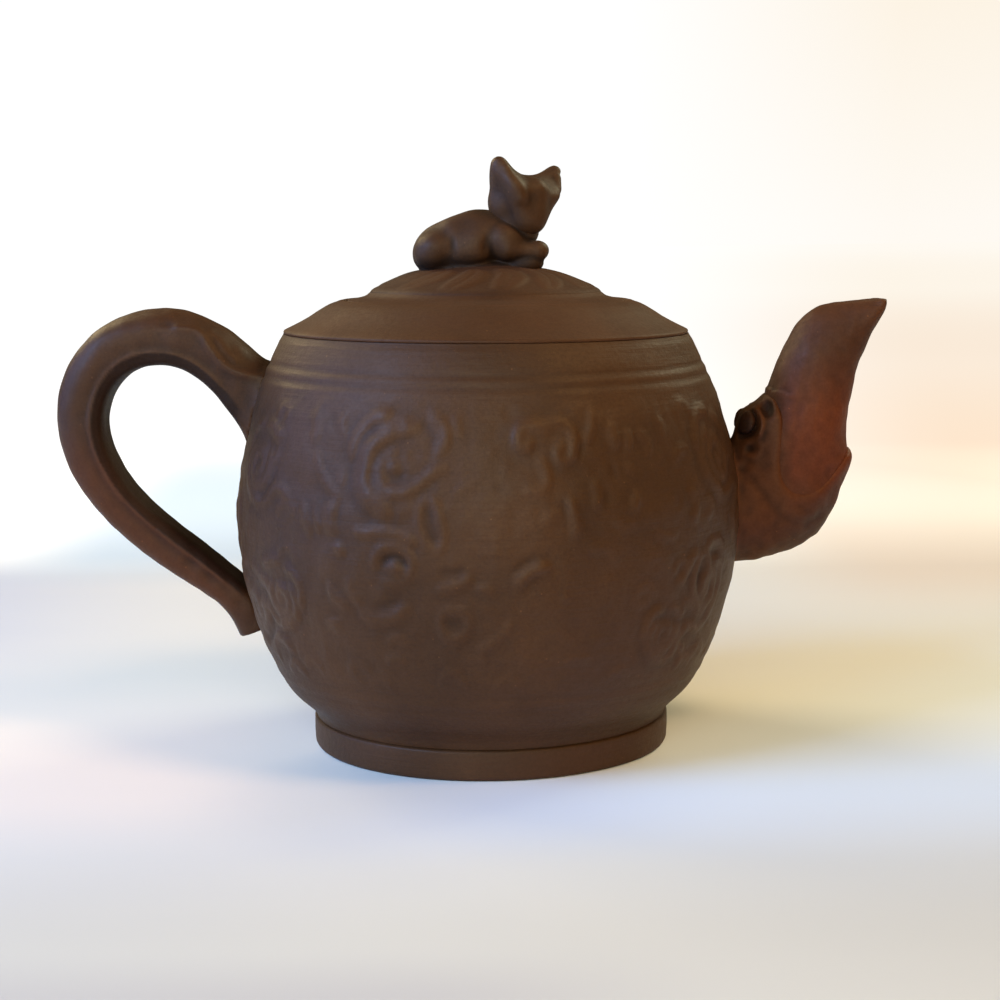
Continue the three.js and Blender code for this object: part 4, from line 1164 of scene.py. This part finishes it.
def knob_shade(x, y, z):
    """Painted shade: darker under the belly and the legs, and on the chest under the chin."""
    low = 1 - smooth_step(z, 105.2, 108.6 - 1.2 * smooth_step(-x, 4, 12))
    chest = np.exp(-((x - 8.2) / 2.6) ** 2 - ((z - 111.6) / 2.0) ** 2)
    return -0.50 * low - 0.30 * chest


VK = 0.32
piece("knob_animal_skin", nets("knob_animal_skin", knob_body, (-19, -11, 102), (17, 11, 121), VK, 1, knob_shade), mats["clay_knob"], "lid",
      ["finial_pad", "beast_torso", "beast_neck", "beast_haunch_near", "beast_haunch_far", "beast_foreleg_near", "beast_foreleg_far"], 60)
piece("knob_head_skin", nets("knob_head_skin", knob_head, (-1, -12, 108), (19, 10, 130), VK, 1), mats["clay_knob"], "lid",
      ["beast_head", "beast_ear_left", "beast_ear_right"], 60)

# ---------------------------------------------------------------- floor, light
floor_mesh = bpy.data.meshes.new("floor")
floor_mesh.from_pydata([(-9, -9, 0), (9, -9, 0), (9, 9, 0), (-9, 9, 0)], [], [(0, 1, 2, 3)])
floor = bpy.data.objects.new("floor", floor_mesh)
scene.collection.objects.link(floor)


def floor_paper():
    """Pale table top with painted shadows and painted light tones round the pot; a white backing starts a little way
    behind the pot.
    """
    m = bpy.data.materials.new("floor")
    m.use_nodes = True
    nt = m.node_tree
    N, L = nt.nodes, nt.links
    bs = N["Principled BSDF"]
    bs.inputs["Roughness"].default_value = 0.75
    bs.inputs["Specular IOR Level"].default_value = 0.15
    tc = N.new("ShaderNodeTexCoord")
    sep = N.new("ShaderNodeSeparateXYZ")
    L.new(tc.outputs["Object"], sep.inputs[0])

    def remap(src, a, b, lo, hi, soft=False):
        n = N.new("ShaderNodeMapRange")
        if soft:
            n.interpolation_type = "SMOOTHSTEP"
        for k, v in zip(("From Min", "From Max", "To Min", "To Max"), (a, b, lo, hi)):
            n.inputs[k].default_value = v
        L.new(src, n.inputs["Value"])
        return n.outputs["Result"]

    noise = N.new("ShaderNodeTexNoise")
    noise.inputs["Scale"].default_value = 6.0
    noise.inputs["Detail"].default_value = 3.0
    stretch = N.new("ShaderNodeMapping")
    stretch.inputs["Scale"].default_value = (0.4, 3.0, 1.0)
    L.new(tc.outputs["Object"], stretch.inputs["Vector"])
    L.new(stretch.outputs["Vector"], noise.inputs["Vector"])
    def mix(kind, fac, a, c):
        n = N.new("ShaderNodeMix")
        n.data_type = "RGBA"
        n.blend_type = kind
        L.new(fac, n.inputs[0])
        for sock, v in ((6, a), (7, c)):
            if isinstance(v, tuple):
                n.inputs[sock].default_value = (*v, 1)
            else:
                L.new(v, n.inputs[sock])
        return n.outputs[2]

    def both(a, c):
        n = N.new("ShaderNodeMath")
        n.operation = "MULTIPLY"
        L.new(a, n.inputs[0])
        L.new(c, n.inputs[1])
        return n.outputs[0]

    def sums(op, a, c):
        n = N.new("ShaderNodeMath")
        n.operation = op
        for sock, v in ((0, a), (1, c)):
            if isinstance(v, (int, float)):
                n.inputs[sock].default_value = v
            else:
                L.new(v, n.inputs[sock])
        return n.outputs[0]

    def zone(*limits):
        out = None
        for src, a, c in limits:
            r = remap(src, a, c, 0.0, 1.0, True)
            out = r if out is None else both(out, r)
        return out

    X, Y = sep.outputs["X"], sep.outputs["Y"]
    behind = sums("SUBTRACT", Y, 0.05)
    R = sums("SQRT", sums("ADD", both(X, X), both(behind, behind)), 0.0)
    near = (R, 0.42, 0.22)
    base = mix("MIX", remap(noise.outputs["Fac"], 0.3, 0.7, 0.0, 1.0), (0.745, 0.745, 0.750), (0.765, 0.760, 0.755))
    # painted light: a cooler, bluer tone on the floor in front at the right
    base = mix("MULTIPLY", zone((sums("SUBTRACT", X, Y), 0.025, 0.095), (Y, -0.100, -0.045), near), base, (1.04, 1.14, 1.34))
    # painted light: lifts the pot's shadow on the floor at the front left
    base = mix("MULTIPLY", zone((X, -0.026, -0.070), (Y, 0.070, 0.0), (Y, -0.090, -0.045), near), base, (1.17, 1.08, 1.04))
    # painted shadow: cool shade on the floor left of the pot
    base = mix("MULTIPLY", zone((X, -0.070, -0.180), (Y, 0.000, 0.120), near), base, (0.76, 0.80, 0.95))
    # painted shadow: warm shade on the floor right of and behind the pot
    base = mix("MULTIPLY", zone((X, 0.070, 0.140), (Y, 0.110, 0.210), near), base, (1.00, 0.88, 0.80))
    # painted shade: the floor darker towards the front
    base = mix("MULTIPLY", zone((Y, -0.070, -0.135), near), base, (0.86, 0.84, 0.80))
    base = mix("MULTIPLY", zone((Y, -0.132, -0.158), (X, 0.045, -0.01), near), base, (0.86, 0.85, 0.89))
    back = mix("MIX", zone((Y, 0.200, 0.268), (X, 0.130, 0.050)), base, (0.92, 0.92, 0.92))
    # painted shadow: cool shade on the backing left behind the pot
    back = mix("MIX", zone((X, -0.185, -0.130), (X, -0.005, -0.080), (Y, 0.180, 0.260)), back, (0.56, 0.65, 0.76))
    back = mix("MIX", zone((Y, 0.30, 0.60)), back, (0.12, 0.12, 0.12))
    L.new(back, bs.inputs["Base Color"])
    # painted light: the backing glows instead of being lit, warm at the right like a lamp on it, with a painted cool
    # shadow left of the pot; other rays see it at an eighth of the strength
    slant = sums("DIVIDE", X, sums("ADD", sums("MAXIMUM", Y, 0.0), 0.70))
    warm = zone((slant, 0.045, 0.195), (slant, 0.60, 0.27), (Y, 0.04, 0.20))
    glow = mix("MIX", zone((Y, 0.45, 1.2)), (0.87, 0.68, 0.52), (0.93, 0.80, 0.67))
    glow = mix("MIX", zone((Y, 1.2, 3.0)), glow, (0.97, 0.90, 0.80))
    glow = mix("MIX", zone((Y, 3.0, 8.0)), glow, (0.985, 0.94, 0.875))
    glow = mix("MIX", warm, (1.02, 1.02, 1.02), glow)
    glow = mix("MIX", zone((X, -0.185, -0.130), (X, -0.005, -0.080), (Y, 0.66, 0.40), (Y, 0.05, 0.20)), glow, (0.70, 0.84, 0.96))
    L.new(glow, bs.inputs["Emission Color"])
    far = remap(Y, 0.215, 0.56, 0.0, 1.0)
    lp = N.new("ShaderNodeLightPath")
    seen_ = lp.outputs["Is Camera Ray"]
    # painted light: a glow seen only by the camera in a ring round the pot
    ring = both(zone((R, 0.27, 0.56)), seen_)
    L.new(sums("MAXIMUM", both(far, remap(seen_, 0.0, 1.0, 0.12, 1.0)), ring), bs.inputs["Emission Strength"])
    return m


floor_mesh.materials.append(floor_paper())

world = bpy.data.worlds.new("world")
world.use_nodes = True
wn, wl = world.node_tree.nodes, world.node_tree.links
seen = wn["Background"]
seen.inputs["Strength"].default_value = 1.02
way = wn.new("ShaderNodeTexCoord")
part = wn.new("ShaderNodeSeparateXYZ")
wl.new(way.outputs["Generated"], part.inputs[0])
facts = []
for axis, a, b in (("X", 0.055, 0.195), ("Y", 0.75, 0.92)):
    n = wn.new("ShaderNodeMapRange")
    n.inputs["From Min"].default_value = a
    n.inputs["From Max"].default_value = b
    wl.new(part.outputs[axis], n.inputs["Value"])
    facts.append(n.outputs["Result"])
for axis in ("Z",):
    n = wn.new("ShaderNodeMapRange")
    for k, v in zip(("From Min", "From Max", "To Min", "To Max"), (0.0, 0.10, 0.55, 1.0)):
        n.inputs[k].default_value = v
    wl.new(part.outputs[axis], n.inputs["Value"])
    facts.append(n.outputs["Result"])
total = facts[0]
for other in facts[1:]:
    n = wn.new("ShaderNodeMath")
    n.operation = "MULTIPLY"
    wl.new(total, n.inputs[0])
    wl.new(other, n.inputs[1])
    total = n.outputs[0]
# painted light: the background seen by the camera is warmed at the right like a lamp-lit wall
wall = wn.new("ShaderNodeMix")
wall.data_type = "RGBA"
wall.inputs[6].default_value = (1.0, 1.0, 1.0, 1)
wall.inputs[7].default_value = (0.965, 0.885, 0.77, 1)
wl.new(total, wall.inputs[0])
wl.new(wall.outputs[2], seen.inputs["Color"])
dim = wn.new("ShaderNodeBackground")
dim.inputs["Color"].default_value = (1.0, 0.80, 0.30, 1)
dim.inputs["Strength"].default_value = 0.085
path = wn.new("ShaderNodeLightPath")
pick = wn.new("ShaderNodeMixShader")
wl.new(path.outputs["Is Camera Ray"], pick.inputs[0])
wl.new(dim.outputs[0], pick.inputs[1])
wl.new(seen.outputs[0], pick.inputs[2])
wl.new(pick.outputs[0], wn["World Output"].inputs["Surface"])
scene.world = world


def soft_box(name, loc, target, size, power, color, spread=180):
    d = bpy.data.lights.new(name, "AREA")
    d.shape = "RECTANGLE"
    d.size, d.size_y = size
    d.energy = power
    d.color = color
    d.spread = math.radians(spread)
    o = bpy.data.objects.new(name, d)
    scene.collection.objects.link(o)
    o.location = loc
    o.rotation_euler = (Vector(target) - Vector(loc)).to_track_quat("-Z", "Y").to_euler()
    return o


soft_box("window_left", (-0.75, -0.45, 0.55), (0, 0, 0.05), (0.50, 0.60), 11.0, (0.33, 0.59, 1.0))
soft_box("sky_left", (-1.0, -0.05, 0.35), (0, 0, 0.05), (0.9, 0.6), 4.6, (0.10, 0.30, 1.0))
soft_box("lamp_right", (0.55, -0.40, 0.80), (0, 0, 0.05), (0.25, 0.25), 3.85, (1.0, 0.61, 0.27))
soft_box("front", (-0.1, -1.2, 0.5), (0, 0, 0.05), (0.6, 0.6), 6.5, (1.0, 1.0, 0.74))
soft_box("back_right", (0.6, 0.5, 0.6), (0, 0, 0.05), (0.4, 0.4), 3.2, (1.0, 0.98, 0.66))
soft_box("back_left", (-0.6, 0.5, 0.6), (0, 0, 0.05), (0.4, 0.4), 5.0, (1.0, 0.80, 0.46))
